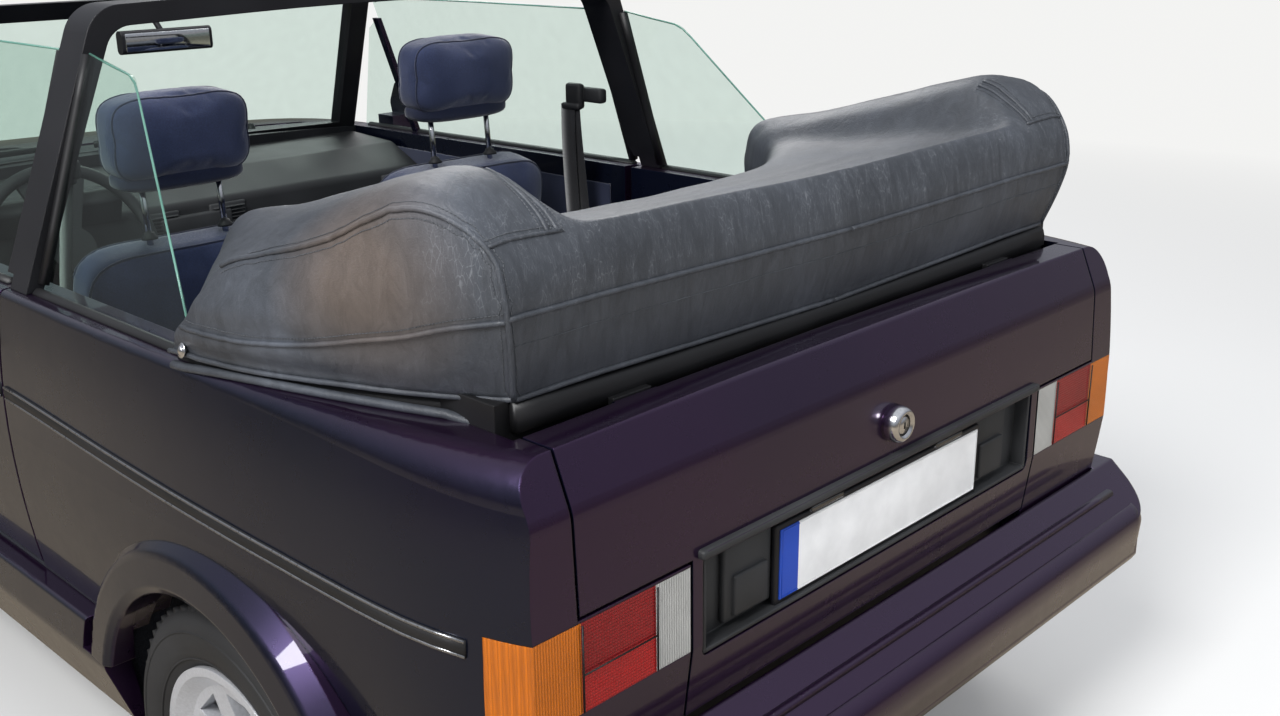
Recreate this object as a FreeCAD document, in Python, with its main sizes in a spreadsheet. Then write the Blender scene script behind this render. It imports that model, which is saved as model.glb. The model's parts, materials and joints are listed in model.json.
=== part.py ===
"""Small two-door convertible car with its soft top folded under a cover.

Row frame: millimetres, +X forward, +Y to the car's left, +Z up. The origin is on the ground, on the
centreline, midway along the overall length.
"""
import math
import os

import FreeCAD
import Part
import Sketcher

V = FreeCAD.Vector

# Driving sizes in millimetres. Each becomes one cell of the document's sheet.
SIZES = {
    # whole car
    "front_overhang": 790, "wheelbase": 2400, "rear_overhang": 700,
    "belt_height": 948, "floor_height": 215, "sill_bottom": 262, "body_bottom": 255,
    "half_width": 803, "shut_gap": 7, "seat_clearance": 0.3,
    # doors
    "door_rear_from_axle": 610, "door_front_from_axle": 615, "door_bottom": 455,
    "door_inner_step": 40, "door_inner_inset": 14,
    "hinge_radius": 6, "hinge_length": 50, "hinge_low": 520, "hinge_high": 850,
    # cabin and load space
    "cabin_half_width": 705, "firewall_from_axle": 560, "firewall_thickness": 22,
    "bulkhead_from_axle": 75, "bulkhead_thickness": 20,
    "boot_floor_height": 395, "boot_half_width": 655, "floor_thickness": 18,
    "tunnel_width": 170, "tunnel_height": 150,
    # wheels and arches
    "tyre_radius": 286, "tyre_width": 185, "rim_radius": 193, "rim_width": 165,
    "hub_bore": 28, "hub_clearance": 0.08, "front_track": 1404, "rear_track": 1400,
    "arch_radius": 322, "front_arch_radius": 330, "well_radius": 346,
    "well_depth_front": 262, "well_inner_rear": 575, "liner_wall": 14,
    "flare_radius": 410, "flare_reach": 822, "flare_lip": 14,
    "kingpin_inset": 76, "kingpin_lean": 13, "strut_radius": 18, "strut_top": 606,
    "rim_windows": 8,
    # tail
    "tail_crease_from_axle": 574, "tail_crease_rise": 7, "tail_fold_from_axle": 606,
    "tail_fold_drop": 68, "tail_face_from_axle": 613, "tail_foot_from_axle": 585,
    "lid_half_width": 641, "lid_front_from_axle": 523, "lid_thickness": 40,
    "lid_lower_half_width": 444, "lid_bottom": 520, "lid_pin_radius": 5,
    "lamp_top": 744, "lamp_bottom": 624, "lamp_inner": 449, "lamp_depth": 62, "lamp_proud": 3,
    "lamp_side_length": 60, "lamp_gap": 0.3,
    "plate_recess_half_width": 425, "plate_recess_top": 752, "plate_recess_bottom": 604,
    "plate_recess_depth": 31,
    # bumpers
    "bumper_half_width": 806, "bumper_top": 512, "bumper_edge": 446, "bumper_bottom": 318,
    "bumper_wall": 45, "bumper_corner": 70, "bumper_gap": 4, "bumper_wrap_rear": 1655,
    "bumper_wrap_front": 1560,
    # skirts
    "skirt_ledge": 443, "skirt_bottom": 258, "skirt_reach": 818,
    # bonnet and nose
    "bonnet_half_width": 668, "bonnet_rear_from_axle": 452, "bonnet_front_from_axle": 668,
    "bonnet_thickness": 22, "nose_from_axle": 690,
    "grille_top": 735, "grille_bottom": 555, "grille_half_width": 700, "grille_depth": 40,
    "headlamp_radius": 89, "headlamp_spread": 545, "fog_radius": 66, "fog_spread": 360,
    # windscreen
    "screen_base_x": 540, "screen_top_x": 268, "screen_base_drop": 16, "screen_rise": 413,
    "screen_base_half": 700, "screen_top_half": 600, "screen_bow": 60, "screen_frame_depth": 44,
    "screen_rail": 48, "glass_thickness": 5, "room_mirror_x": 222, "room_mirror_z": 1249,
    # side glass and roll bar
    "side_glass_base_y": 742, "side_glass_top_y": 612, "side_glass_rise": 374,
    "roll_bar_x": -660, "roll_bar_length": 84, "roll_bar_tube": 34, "roll_bar_rise": 464,
    "roll_bar_crown": 20, "roll_bar_base_y": 764, "roll_bar_top_y": 592, "roll_bar_bend": 66,
    # soft top stack and tray
    "cover_rear_x": -1765, "cover_half_width": 768, "cover_hump_rise": 300, "cover_middle_rise": 224,
    "tray_rear_x": -1735, "tray_front_x": -1270, "tray_rise": 38, "tray_depth": 81, "tray_wall": 16,
    # seats
    "seat_spread": 345, "seat_width": 480, "seat_front_x": 80, "seat_hip_x": -330,
    "cushion_height": 430, "backrest_thickness": 95, "backrest_left": 950, "backrest_right": 1004,
    "headrest_x": -442, "headrest_width": 288, "headrest_height": 176, "headrest_thickness": 108,
    "headrest_rise": 264, "headrest_post": 6, "rear_seat_width": 1080, "rear_seat_front_x": -690,
    # controls
    "wheel_rim_radius": 188, "wheel_rim_tube": 14, "wheel_x": 95, "wheel_z": 818, "wheel_tilt": 66,
    # underside
    "engine_length": 500, "engine_clearance": 76, "engine_height": 400,
    "beam_radius": 38, "beam_ahead": 260, "pipe_radius": 24, "silencer_radius": 70,
    "tank_length": 250, "tank_width": 820, "tank_height": 140,
}


class Size:
    """A length with the sheet expression that gives it, so that a property can be bound to it."""

    def __init__(self, value, text):
        self.value = float(value)
        self.text = text

    def __float__(self):
        return self.value

    def __add__(self, other):
        return Size(self.value + float(other), f"({self.text} + {text_of(other)})")

    __radd__ = __add__

    def __sub__(self, other):
        return Size(self.value - float(other), f"({self.text} - {text_of(other)})")

    def __rsub__(self, other):
        return Size(float(other) - self.value, f"({text_of(other)} - {self.text})")

    def __mul__(self, other):
        return Size(self.value * float(other), f"({self.text} * {text_of(other)})")

    __rmul__ = __mul__

    def __truediv__(self, other):
        return Size(self.value / float(other), f"({self.text} / {text_of(other)})")

    def __neg__(self):
        return Size(-self.value, f"(0 - {self.text})")


def text_of(value):
    """The expression text of a size or a plain number."""
    return value.text if isinstance(value, Size) else repr(float(value))


doc = FreeCAD.newDocument("Convertible")
sheet = doc.addObject("Spreadsheet::Sheet", "Dims")
for row, (alias, number) in enumerate(SIZES.items(), start=1):
    sheet.set(f"A{row}", alias)
    sheet.set(f"B{row}", str(number))
    sheet.setAlias(f"B{row}", alias)
doc.recompute()


def size(alias):
    """One sheet cell as a bindable size."""
    return Size(sheet.get(alias), f"Dims.{alias}")


def num(alias):
    """One sheet cell as a plain number, for Part's own functions."""
    return float(sheet.get(alias))


# Stations along the car, from the driving lengths.
OVERALL = num("front_overhang") + num("wheelbase") + num("rear_overhang")
FRONT_AXLE = OVERALL / 2 - num("front_overhang")
REAR_AXLE = FRONT_AXLE - num("wheelbase")
NOSE = FRONT_AXLE + num("nose_from_axle")
DOOR_REAR = REAR_AXLE + num("door_rear_from_axle")
DOOR_FRONT = FRONT_AXLE - num("door_front_from_axle")
AXLE_Z = num("tyre_radius")
WELL_FRONT = num("front_track") / 2 - num("well_depth_front")
FAR = 4000.0
# Heights that follow the belt line.
BELT = num("belt_height")
TAIL_CREASE = BELT + num("tail_crease_rise")
SCREEN_LOW = BELT - num("screen_base_drop")
SCREEN_TOP = SCREEN_LOW + num("screen_rise")
GLASS_TOP = BELT + num("side_glass_rise")
TRAY_TOP = BELT + num("tray_rise")
# Each wheel opening: position along the car and radius.
ARCHES = ((FRONT_AXLE, num("front_arch_radius")), (REAR_AXLE, num("arch_radius")))

shapes = {}


def keep(label, shape):
    """Files a finished shape under its node's name as a feature of the document."""
    feature = doc.addObject("Part::Feature", label)
    feature.Label = label
    feature.Shape = shape
    shapes[label] = feature
    return feature


def polygon_face(points):
    """A plane face from a closed list of points."""
    return Part.Face(Part.makePolygon(points + [points[0]]))


def rounded_wire(points, radii):
    """A closed wire through the corner points, each corner rounded by a tangent arc of its radius."""
    count = len(points)
    radii = radii if isinstance(radii, (list, tuple)) else [radii] * count
    ends = []
    for i, (corner, radius) in enumerate(zip(points, radii)):
        back = (points[i - 1] - corner).normalize()
        ahead = (points[(i + 1) % count] - corner).normalize()
        if radius <= 0:
            ends.append((corner, None, corner))
            continue
        half = back.getAngle(ahead) / 2
        reach = radius / math.tan(half)
        middle = corner + (back + ahead).normalize() * (radius / math.sin(half) - radius)
        ends.append((corner + back * reach, middle, corner + ahead * reach))
    edges = []
    for i, (start, middle, end) in enumerate(ends):
        if middle is not None:
            edges.append(Part.Arc(start, middle, end).toShape())
        following = ends[(i + 1) % count][0]
        if (following - end).Length > 1e-6:
            edges.append(Part.LineSegment(end, following).toShape())
    return Part.Wire(edges)


def box(x0, x1, y0, y1, z0, z1):
    """A box between two corners."""
    return Part.makeBox(x1 - x0, y1 - y0, z1 - z0, V(x0, y0, z0))


def side_prism(outline, y0, y1):
    """An outline of (x, z) corners, each with an optional radius, extruded along Y."""
    points = [V(c[0], y0, c[1]) for c in outline]
    radii = [c[2] if len(c) > 2 else 0 for c in outline]
    return Part.Face(rounded_wire(points, radii)).extrude(V(0, y1 - y0, 0))


def end_prism(outline, x0, x1):
    """An outline of (y, z) corners, each with an optional radius, extruded along X."""
    points = [V(x0, c[0], c[1]) for c in outline]
    radii = [c[2] if len(c) > 2 else 0 for c in outline]
    return Part.Face(rounded_wire(points, radii)).extrude(V(x1 - x0, 0, 0))


def plan_prism(outline, z0, z1):
    """An outline of (x, y) corners, each with an optional radius, extruded along Z."""
    points = [V(c[0], c[1], z0) for c in outline]
    radii = [c[2] if len(c) > 2 else 0 for c in outline]
    return Part.Face(rounded_wire(points, radii)).extrude(V(0, 0, z1 - z0))


def cylinder(radius, start, end):
    """A cylinder between two points."""
    start, end = V(*start), V(*end)
    return Part.makeCylinder(radius, (end - start).Length, start, end - start)


def other_side(shape):
    """The same shape on the car's right."""
    return shape.mirror(V(0, 0, 0), V(0, 1, 0))


def both_sides(shape):
    """A left-hand shape and its mirror image as one compound of solids that don't touch."""
    return Part.makeCompound([shape, other_side(shape)])


def merged(*parts):
    """Shapes fused into one, with needless seams removed."""
    whole = parts[0].multiFuse(list(parts[1:])) if len(parts) > 1 else parts[0]
    return whole.removeSplitter()


# Body sections along the car, nose first. Columns: x, half width low, half width at the rub strip,
# half width at the shoulder, shoulder height, shoulder radius, crown of the top.
LOW_Z, WIDE_Z = 430.0, 770.0


def body_sections():
    """The table of body sections; the middle of the car has the full half width."""
    wide, belt = num("half_width"), num("belt_height")
    return [
        (FRONT_AXLE + 720, wide - 82, wide - 62, wide - 84, belt - 173, 40, 12),
        (FRONT_AXLE + 420, wide - 46, wide - 20, wide - 46, belt - 114, 26, 20),
        (FRONT_AXLE, wide - 34, wide - 5, wide - 29, belt - 60, 20, 24),
        (FRONT_AXLE - 452, wide - 26, wide, wide - 19, belt - 18, 14, 22),
        (FRONT_AXLE - 900, wide - 26, wide, wide - 19, belt - 9, 12, 14),
        (FRONT_AXLE - 1340, wide - 26, wide, wide - 19, belt - 4, 12, 10),
        (DOOR_REAR, wide - 26, wide, wide - 20, belt, 12, 8),
        (REAR_AXLE, wide - 30, wide - 5, wide - 27, belt + 2, 16, 8),
        (REAR_AXLE - 300, wide - 48, wide - 25, wide - 50, belt + 3, 34, 6),
        (REAR_AXLE - 560, wide - 80, wide - 66, wide - 84, belt + 4, 54, 4),
        (REAR_AXLE - 640, wide - 116, wide - 102, wide - 116, belt + 4, 56, 4),
    ]


def section_wire(x, low, wide, shoulder, top, radius, crown):
    """One closed body section: flat bottom, bowed sides, rounded shoulders and a crowned top."""
    bottom = num("body_bottom")

    def side(sign):
        foot = V(x, sign * (low - 22), bottom)
        knee = V(x, sign * low, LOW_Z)
        belly = V(x, sign * (wide - 2), (LOW_Z + WIDE_Z) / 2 + 40)
        strip = V(x, sign * wide, WIDE_Z - 60 if top > WIDE_Z + 60 else top - 95)
        under = V(x, sign * shoulder, top - radius)
        turn = V(x, sign * (shoulder - 0.293 * radius), top - 0.293 * radius)
        over = V(x, sign * (shoulder - radius), top)
        return foot, knee, belly, strip, under, turn, over

    left, right = side(1), side(-1)
    peak = V(x, 0, top + crown)

    def edges(s):
        middle = V(x, (s[3].y + s[4].y) / 2 + math.copysign(5, s[3].y), (s[3].z + s[4].z) / 2)
        return [
            Part.LineSegment(s[0], s[1]).toShape(),
            Part.Arc(s[1], V(x, (s[1].y + s[3].y) / 2 + math.copysign(6, s[1].y), (s[1].z + s[3].z) / 2),
                     s[3]).toShape(),
            Part.Arc(s[3], middle, s[4]).toShape(),
            Part.Arc(s[4], s[5], s[6]).toShape(),
        ]

    crown_arc = Part.Arc(left[6], peak, right[6]).toShape()
    floor_line = Part.LineSegment(right[0], left[0]).toShape()
    return Part.Wire(Part.__sortEdges__(edges(left) + [crown_arc] + edges(right) + [floor_line]))


def tail_profile():
    """Corners (x, z) of the car's side view, used to trim the nose and the tail."""
    ra = REAR_AXLE
    return [
        (NOSE - 26, 300), (NOSE - 4, 430), (NOSE + 2, 560), (NOSE - 6, BELT - 205),
        (NOSE - 30, BELT - 172, 20), (NOSE - 60, BELT + 150), (ra - 400, BELT + 150),
        (ra - num("lid_front_from_axle"), TAIL_CREASE + 4),
        (ra - num("tail_crease_from_axle"), TAIL_CREASE, 8),
        (ra - num("tail_fold_from_axle"), BELT - num("tail_fold_drop"), 60),
        (ra - num("tail_face_from_axle"), num("lamp_top")),
        (ra - num("tail_face_from_axle") - 1, num("lamp_bottom")),
        (ra - num("tail_foot_from_axle"), 400), (ra - num("tail_foot_from_axle") + 40, 240),
        (NOSE - 80, 240),
    ]


def outer_body():
    """The whole outer body as one solid, before it is hollowed and split into panels."""
    loft = Part.makeLoft([section_wire(*row) for row in body_sections()], True, False)
    return loft.common(side_prism(tail_profile(), -FAR / 2, FAR / 2))


BODY = outer_body()
GAP = num("shut_gap")
SILL_TOP = num("door_bottom") - GAP
SEAT = num("seat_clearance")
TUNNEL_TOP = num("floor_height") + num("tunnel_height") + num("floor_thickness")
DECK_UNDER = num("boot_floor_height") - num("floor_thickness")
KICK = REAR_AXLE + num("well_radius") + 30
FIREWALL_X = FRONT_AXLE - num("firewall_from_axle") + 41
# The left kingpin: where it crosses hub height, its direction, and its reach up to the strut's top.
KING_LEAN = math.radians(num("kingpin_lean"))
KING_AXIS = V(0, -math.sin(KING_LEAN), math.cos(KING_LEAN))
KING_HUB = V(FRONT_AXLE, num("front_track") / 2 - num("kingpin_inset"), AXLE_Z)
KING_TOP = (num("strut_top") - AXLE_Z) / math.cos(KING_LEAN)
KING_FOOT = 80.0
# The lid's hinge pin, just under its front edge.
LID_PIN_R = num("lid_pin_radius")
LID_PIN_X = REAR_AXLE - num("lid_front_from_axle") + 2
LID_PIN_Z = TAIL_CREASE - LID_PIN_R - 1
# The bonnet's hinge pin, just under its rear edge.
BONNET_PIN_X = FRONT_AXLE - num("bonnet_rear_from_axle") + 1
BONNET_PIN_Z = BELT - 16


def lid_outline(grow=0.0):
    """Corners (y, z) of the boot lid seen from behind: wide above the lamps, narrow between them."""
    upper, lower = num("lid_half_width") + grow, num("lid_lower_half_width") + grow
    step, bottom = num("lamp_top") + 8 - grow, num("lid_bottom") - grow
    return [(-upper, 1200), (-upper, step), (-lower, step), (-lower, bottom),
            (lower, bottom), (lower, step), (upper, step), (upper, 1200)]


def well(x, inner, radius):
    """The space of a left-hand wheel: a round well from its inner wall out past the body."""
    return cylinder(radius, (x, inner, AXLE_Z), (x, 1000, AXLE_Z)).fuse(
        box(x - radius, x + radius, inner, 1000, -10, AXLE_Z))


def side_wall():
    """The left side wall between the nose and the tail, hollowed for cabin, boot, engine and wheels."""
    half = BODY.common(box(-FAR, FAR, 0, FAR, -FAR, FAR))
    cabin = box(REAR_AXLE - 60, FRONT_AXLE - num("firewall_from_axle") + 60, -1, num("cabin_half_width"), 0, FAR)
    boot = box(REAR_AXLE - 1000, REAR_AXLE - 59, -1, num("boot_half_width"), 0, FAR)
    front = box(FRONT_AXLE - num("firewall_from_axle") + 40, NOSE - 45, -1, num("bonnet_half_width") - 22, 0, FAR)
    for space in (cabin, boot, front):
        half = half.cut(space)
    for x, radius in ARCHES:
        half = half.cut(cylinder(radius, (x, 0, AXLE_Z), (x, 1000, AXLE_Z)))
        half = half.cut(box(x - radius, x + radius, 0, 1000, 0, AXLE_Z))
        half = half.cut(cylinder(num("well_radius"), (x, 0, AXLE_Z), (x, num("half_width") - 48, AXLE_Z)))
    return half


SIDE = side_wall()


def quarter_panels():
    """Rear quarters: side, arch, top ledge and tail corner, with seats for the lamps."""
    panel = SIDE.common(box(-FAR, DOOR_REAR - GAP / 2, 0, FAR, SILL_TOP, FAR))
    panel = panel.fuse(tail_corner())
    panel = panel.cut(end_prism(lid_outline(GAP / 2 + 1), -FAR, REAR_AXLE - num("lid_front_from_axle") + 30))
    panel = panel.cut(lamp_block(num("lamp_gap")))
    keep("quarter_panels", both_sides(panel.removeSplitter()))


def tail_corner():
    """The tail's left-hand corner beside and below the lid, a wall of the lid's thickness."""
    corner = BODY.common(box(-FAR, REAR_AXLE - num("tail_face_from_axle") + 90, num("lid_lower_half_width"),
                             FAR, num("bumper_top") - 60, FAR))
    inner = BODY.copy()
    inner.translate(V(num("lid_thickness"), 0, -20))
    return corner.cut(inner.common(box(-FAR, FAR, 0, num("boot_half_width"), 0, FAR)))


def lamp_block(grow=0.0):
    """The left tail lamp: a block that follows the tail face and wraps on to the side."""
    x0 = REAR_AXLE - num("tail_face_from_axle") + num("lamp_side_length") + grow
    block = box(-FAR, x0, num("lamp_inner") - grow, FAR, num("lamp_bottom") - grow, num("lamp_top") + grow)
    return block.common(box(REAR_AXLE - FAR, x0, 0, FAR, 0, FAR))


def tail_lamps():
    """One wrap-round lens unit each side, standing a little proud of the panel."""
    proud = BODY.copy()
    proud.translate(V(-num("lamp_proud"), 0, 0))
    lens = lamp_block().common(proud.fuse(BODY))
    hollow = BODY.copy()
    hollow.translate(V(num("lamp_depth") - 8, 0, 0))
    lens = lens.cut(hollow.common(box(-FAR, FAR, 0, num("boot_half_width") + 34, 0, FAR)))
    keep("tail_lamps", both_sides(lens.removeSplitter()))


def boot_lid():
    """Boot lid: a bent panel with the plate recess in its lower part."""
    blank = BODY.common(end_prism(lid_outline(), -FAR, REAR_AXLE - num("lid_front_from_axle")))
    inner = BODY.copy()
    inner.translate(V(num("lid_thickness"), 0, -num("lid_thickness") + 8))
    lid = blank.cut(inner)
    face = REAR_AXLE - num("tail_face_from_axle")
    wide, top, bottom = num("plate_recess_half_width"), num("plate_recess_top"), num("plate_recess_bottom")
    recess = end_prism([(-wide, bottom, 12), (wide, bottom, 12), (wide, top, 12), (-wide, top, 12)],
                       face - 60, face + num("plate_recess_depth"))
    lid = lid.cut(recess)
    lip = box(face - 9, face + 12, -wide, wide, top - 2, top + 9)
    lock = cylinder(27, (face - 14, 0, num("lamp_top") + 68), (face + 8, 0, num("lamp_top") + 68))
    barrel = cylinder(LID_PIN_R, (LID_PIN_X, 412, LID_PIN_Z), (LID_PIN_X, 488, LID_PIN_Z))
    keep("boot_lid", merged(lid, lip, lock, barrel, other_side(barrel)))


def doors():
    """Both doors, each as thick as the real one, with a stepped inner edge and a pull handle."""
    x0, x1, bottom = DOOR_REAR + GAP / 2, DOOR_FRONT - GAP / 2, num("door_bottom")
    inner, step = num("cabin_half_width"), num("door_inner_step")
    inset = num("door_inner_inset")
    outer_part = BODY.common(box(x0, x1, inner + step, FAR, bottom, FAR))
    inner_part = BODY.common(box(x0 + inset, x1, inner, inner + step + 1, bottom + inset, FAR))
    door = merged(outer_part, inner_part)
    lift = box(x0 + 60, x0 + 215, num("half_width") - 32, num("half_width") - 4, 822, 852)
    grip = box(x0 + 68, x0 + 207, num("half_width") - 14, num("half_width") + 12, 838, 858)
    lower = box(x0 + 60, x0 + 215, num("half_width") - 60, num("half_width") - 12, 852, 868)
    door = merged(door.cut(lift), grip, lower.common(BODY))
    post_x = num("screen_base_x") - 300
    post = pane_strip(post_x, post_x + 22, num("belt_height") - 12, GLASS_TOP - 60, 14)
    door = merged(door, post, hinge_barrels(-1))
    keep("door_left", door)
    keep("door_right", other_side(door))


def pane_y(z):
    """Distance of the side glass plane from the centreline at a height."""
    low, high = num("belt_height"), GLASS_TOP
    share = (z - low) / (high - low)
    return num("side_glass_base_y") + share * (num("side_glass_top_y") - num("side_glass_base_y"))


def pane_solid(outline, thickness):
    """A flat pane in the left side glass plane, from (x, z) corners with optional radii."""
    points = [V(c[0], pane_y(c[1]) - thickness / 2, c[1]) for c in outline]
    radii = [c[2] if len(c) > 2 else 0 for c in outline]
    return Part.Face(rounded_wire(points, radii)).extrude(V(0, thickness, 0))


def pane_strip(x0, x1, z0, z1, thickness):
    """An upright strip in the side glass plane."""
    return pane_solid([(x0, z0), (x1, z0), (x1, z1), (x0, z1)], thickness)


def screen_x(z):
    """Position of the windscreen pillar along the car at a height."""
    share = (z - SCREEN_LOW) / (SCREEN_TOP - SCREEN_LOW)
    return num("screen_base_x") + share * (num("screen_top_x") - num("screen_base_x"))


def side_glass():
    """Door panes with their vent panes, and the fixed rear quarter panes."""
    top, base = GLASS_TOP, num("belt_height") - 14
    rear = num("roll_bar_x") + num("roll_bar_length") / 2 + 8
    post = num("screen_base_x") - 300
    gap = 42
    main = pane_solid([(rear, base), (post, base), (post, top - 8), (rear, top, 18)], num("glass_thickness"))
    vent = pane_solid([(post + 22, base), (screen_x(base) - gap, base), (screen_x(top - 90) - gap, top - 90),
                       (post + 22, top - 68)], num("glass_thickness"))
    glass = Part.makeCompound([main.cut(BODY), vent.cut(BODY)])
    keep("door_glass_left", glass)
    keep("door_glass_right", other_side(glass))
    front = num("roll_bar_x") - num("roll_bar_length") / 2 - 8
    quarter = pane_solid([(REAR_AXLE + 30, base), (front, base), (front, top, 6),
                          (REAR_AXLE + 372, top - 26, 30)], num("glass_thickness"))
    keep("quarter_glass", both_sides(quarter.cut(BODY)))


def screen_slab(half_base, half_top, z0, z1, depth, shift=0.0):
    """A bowed slab in the windscreen's plane, between two heights."""
    def wire(z, half):
        bow, x = num("screen_bow") * (half / num("screen_base_half")) ** 2, screen_x(z) + shift
        out = Part.Arc(V(x, half, z), V(x + bow, 0, z), V(x, -half, z)).toShape()
        back = Part.Arc(V(x - depth, -half, z), V(x - depth + bow, 0, z), V(x - depth, half, z)).toShape()
        ends = [Part.LineSegment(V(x, -half, z), V(x - depth, -half, z)).toShape(),
                Part.LineSegment(V(x - depth, half, z), V(x, half, z)).toShape()]
        return Part.Wire([out, ends[0], back, ends[1]])
    return Part.makeLoft([wire(z0, half_base), wire(z1, half_top)], True, True)


def raised_body(rise):
    """The outer body moved up, to cut a piece that stands on it."""
    raised = BODY.copy()
    raised.translate(V(0, 0, rise))
    return raised


def windscreen():
    """The windscreen frame with its mirror, and the bowed glass in it."""
    z0, z1, rail = SCREEN_LOW, SCREEN_TOP, num("screen_rail")
    outer0, outer1, depth = num("screen_base_half"), num("screen_top_half"), num("screen_frame_depth")
    frame = screen_slab(outer0, outer1, z0, z1, depth)
    inner0 = outer0 - rail + (outer1 - outer0) * 24 / (z1 - z0)
    inner1 = outer1 - rail - (outer1 - outer0) * 40 / (z1 - z0)
    frame = frame.cut(screen_slab(inner0, inner1, z0 + 24, z1 - 40, depth + 60, 30))
    bow = num("screen_bow") * (outer1 / outer0) ** 2
    top_x, mirror_x, mirror_z = screen_x(z1 - 20) + bow - depth / 2, num("room_mirror_x"), num("room_mirror_z")
    stalk = cylinder(7, (top_x, 0, z1 - 20), (mirror_x + 8, 0, mirror_z + 12))
    mirror = side_prism([(mirror_x - 14, mirror_z - 27, 12), (mirror_x + 14, mirror_z - 27, 12),
                         (mirror_x + 14, mirror_z + 27, 12), (mirror_x - 14, mirror_z + 27, 12)], -115, 115)
    keep("windscreen_frame", merged(frame.cut(BODY), stalk, mirror))
    glass = screen_slab(inner0 - SEAT, inner1 - SEAT, z0 + 24 + SEAT, z1 - 40 - SEAT, num("glass_thickness"), -16)
    keep("windscreen_glass", glass.cut(raised_body(SEAT)))


def roll_bar():
    """The fixed hoop behind the front seats: leaning legs and a crowned top."""
    x0, x1 = num("roll_bar_x") - num("roll_bar_length") / 2, num("roll_bar_x") + num("roll_bar_length") / 2
    tube, bend, crown = num("roll_bar_tube"), num("roll_bar_bend"), num("roll_bar_crown")
    base_y, top_y, top = num("roll_bar_base_y"), num("roll_bar_top_y"), BELT + num("roll_bar_rise")
    base, leg, foot = BELT + 6, tube * 0.8, 40
    drop = (base_y - top_y) / (top - crown - base) * foot
    outer = [(base_y + drop, base - foot), (top_y, top - crown, bend), (0, top, 9000), (-top_y, top - crown, bend),
             (-base_y - drop, base - foot)]
    inner = [(base_y + drop - leg, base - foot - 1), (top_y - leg, top - crown - tube, bend - tube / 2),
             (0, top - tube, 9000), (leg - top_y, top - crown - tube, bend - tube / 2),
             (leg - base_y - drop, base - foot - 1)]
    hoop = end_prism(outer, x0, x1).cut(end_prism(inner, x0 - 1, x1 + 1))
    hoop = hoop.cut(raised_body(SEAT))
    # clear of the doors, which open from under the bar's front edge
    door_way = box(DOOR_REAR - GAP, x1 + 1, num("cabin_half_width") - 40, 900, 0, BELT + 24)
    keep("roll_bar", hoop.cut(door_way).cut(other_side(door_way)))


def front_wings():
    """Front wings: side, arch and the top edge beside the bonnet."""
    wing = SIDE.common(box(DOOR_FRONT + GAP / 2, FAR, 0, FAR, SILL_TOP, FAR))
    wing = wing.cut(bonnet_space(GAP / 2 + 1))
    wing = wing.cut(box(NOSE - 48, FAR, 0, num("grille_half_width") + SEAT, 0, num("grille_top") + 8))
    wing = merged(largest(wing), hinge_barrels(1))
    keep("front_wings", both_sides(wing))


def hinge_barrels(side):
    """Door hinge barrels on the shut line: the wing's half (side 1) or the door's half (side -1)."""
    radius, long = num("hinge_radius"), num("hinge_length")
    x, y = DOOR_FRONT, num("half_width") + 2
    parts = []
    for low in (num("hinge_low"), num("hinge_high")):
        z = low if side > 0 else low + long / 2 + 0.5
        parts.append(cylinder(radius, (x, y, z), (x, y, z + long / 2)))
        parts.append(box(min(x, x + side * 26), max(x, x + side * 26), y - 9, y - 1, z, z + long / 2))
    return merged(*parts)


def bonnet_space(grow=0.0):
    """The plan outline of the bonnet, as a tall prism."""
    wide = num("bonnet_half_width") + grow
    rear = FRONT_AXLE - num("bonnet_rear_from_axle") - grow
    front = FRONT_AXLE + num("bonnet_front_from_axle") + grow
    return plan_prism([(rear, -wide), (front, -wide + 22), (front, wide - 22), (rear, wide)], 620, 1300)


def bonnet():
    """Bonnet: a crowned sheet with a folded front edge."""
    under = BODY.copy()
    under.translate(V(-6, 0, -num("bonnet_thickness")))
    pin = cylinder(LID_PIN_R, (BONNET_PIN_X, 560, BONNET_PIN_Z), (BONNET_PIN_X, 600, BONNET_PIN_Z))
    keep("bonnet", merged(BODY.common(bonnet_space()).cut(under), pin, other_side(pin)))


def nose():
    """Front panel round the grille opening, the slatted grille, and the round lamps."""
    wide, top, bottom = num("grille_half_width"), num("grille_top"), num("grille_bottom")
    band = BODY.common(box(NOSE - 44, FAR, -wide, wide, 300, top + 6))
    band = band.cut(bonnet_space(GAP).common(box(0, FAR, -FAR, FAR, top - 14, FAR)))

    def mouth(inset):
        side, low, high = wide - 14 - inset, bottom + inset, top - 16 - inset
        return end_prism([(-side, low, 20), (side, low, 20), (side, high, 20), (-side, high, 20)],
                         NOSE - 300, NOSE + 100)

    keep("front_panel", largest(band.cut(mouth(0))))
    slats = []
    rows = 7
    pitch = (top - 16 - bottom) / rows
    for row in range(rows):
        z = bottom + pitch * (row + 0.5)
        slats.append(box(NOSE - 40, NOSE - 14, -wide, wide, z - 4, z + 4))
    back = box(NOSE - 46, NOSE - 38, -wide, wide, bottom, top)
    grille = merged(back, *slats).common(mouth(SEAT))
    lamps = []
    middle = (top - 16 + bottom) / 2
    for spread, radius in ((num("headlamp_spread"), num("headlamp_radius")),
                           (num("fog_spread"), num("fog_radius"))):
        radius = min(radius, (top - 16 - bottom) / 2 - 1)
        bezel = cylinder(radius, (NOSE - 60, spread, middle), (NOSE - 12, spread, middle))
        grille = merged(grille.cut(both_sides(bezel)),
                        both_sides(bezel.cut(cylinder(radius - 6, (NOSE - 70, spread, middle),
                                                      (NOSE, spread, middle)))))
        lens = cylinder(radius - 6 - SEAT, (NOSE - 58, spread, middle), (NOSE - 20, spread, middle))
        dome = Part.makeSphere(radius * 3, V(NOSE - 10 - radius * 3, spread, middle))
        lamps.append(lens.common(dome))
    keep("grille", grille)
    keep("headlamps", Part.makeCompound([both_sides(lamp) for lamp in lamps]))


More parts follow.
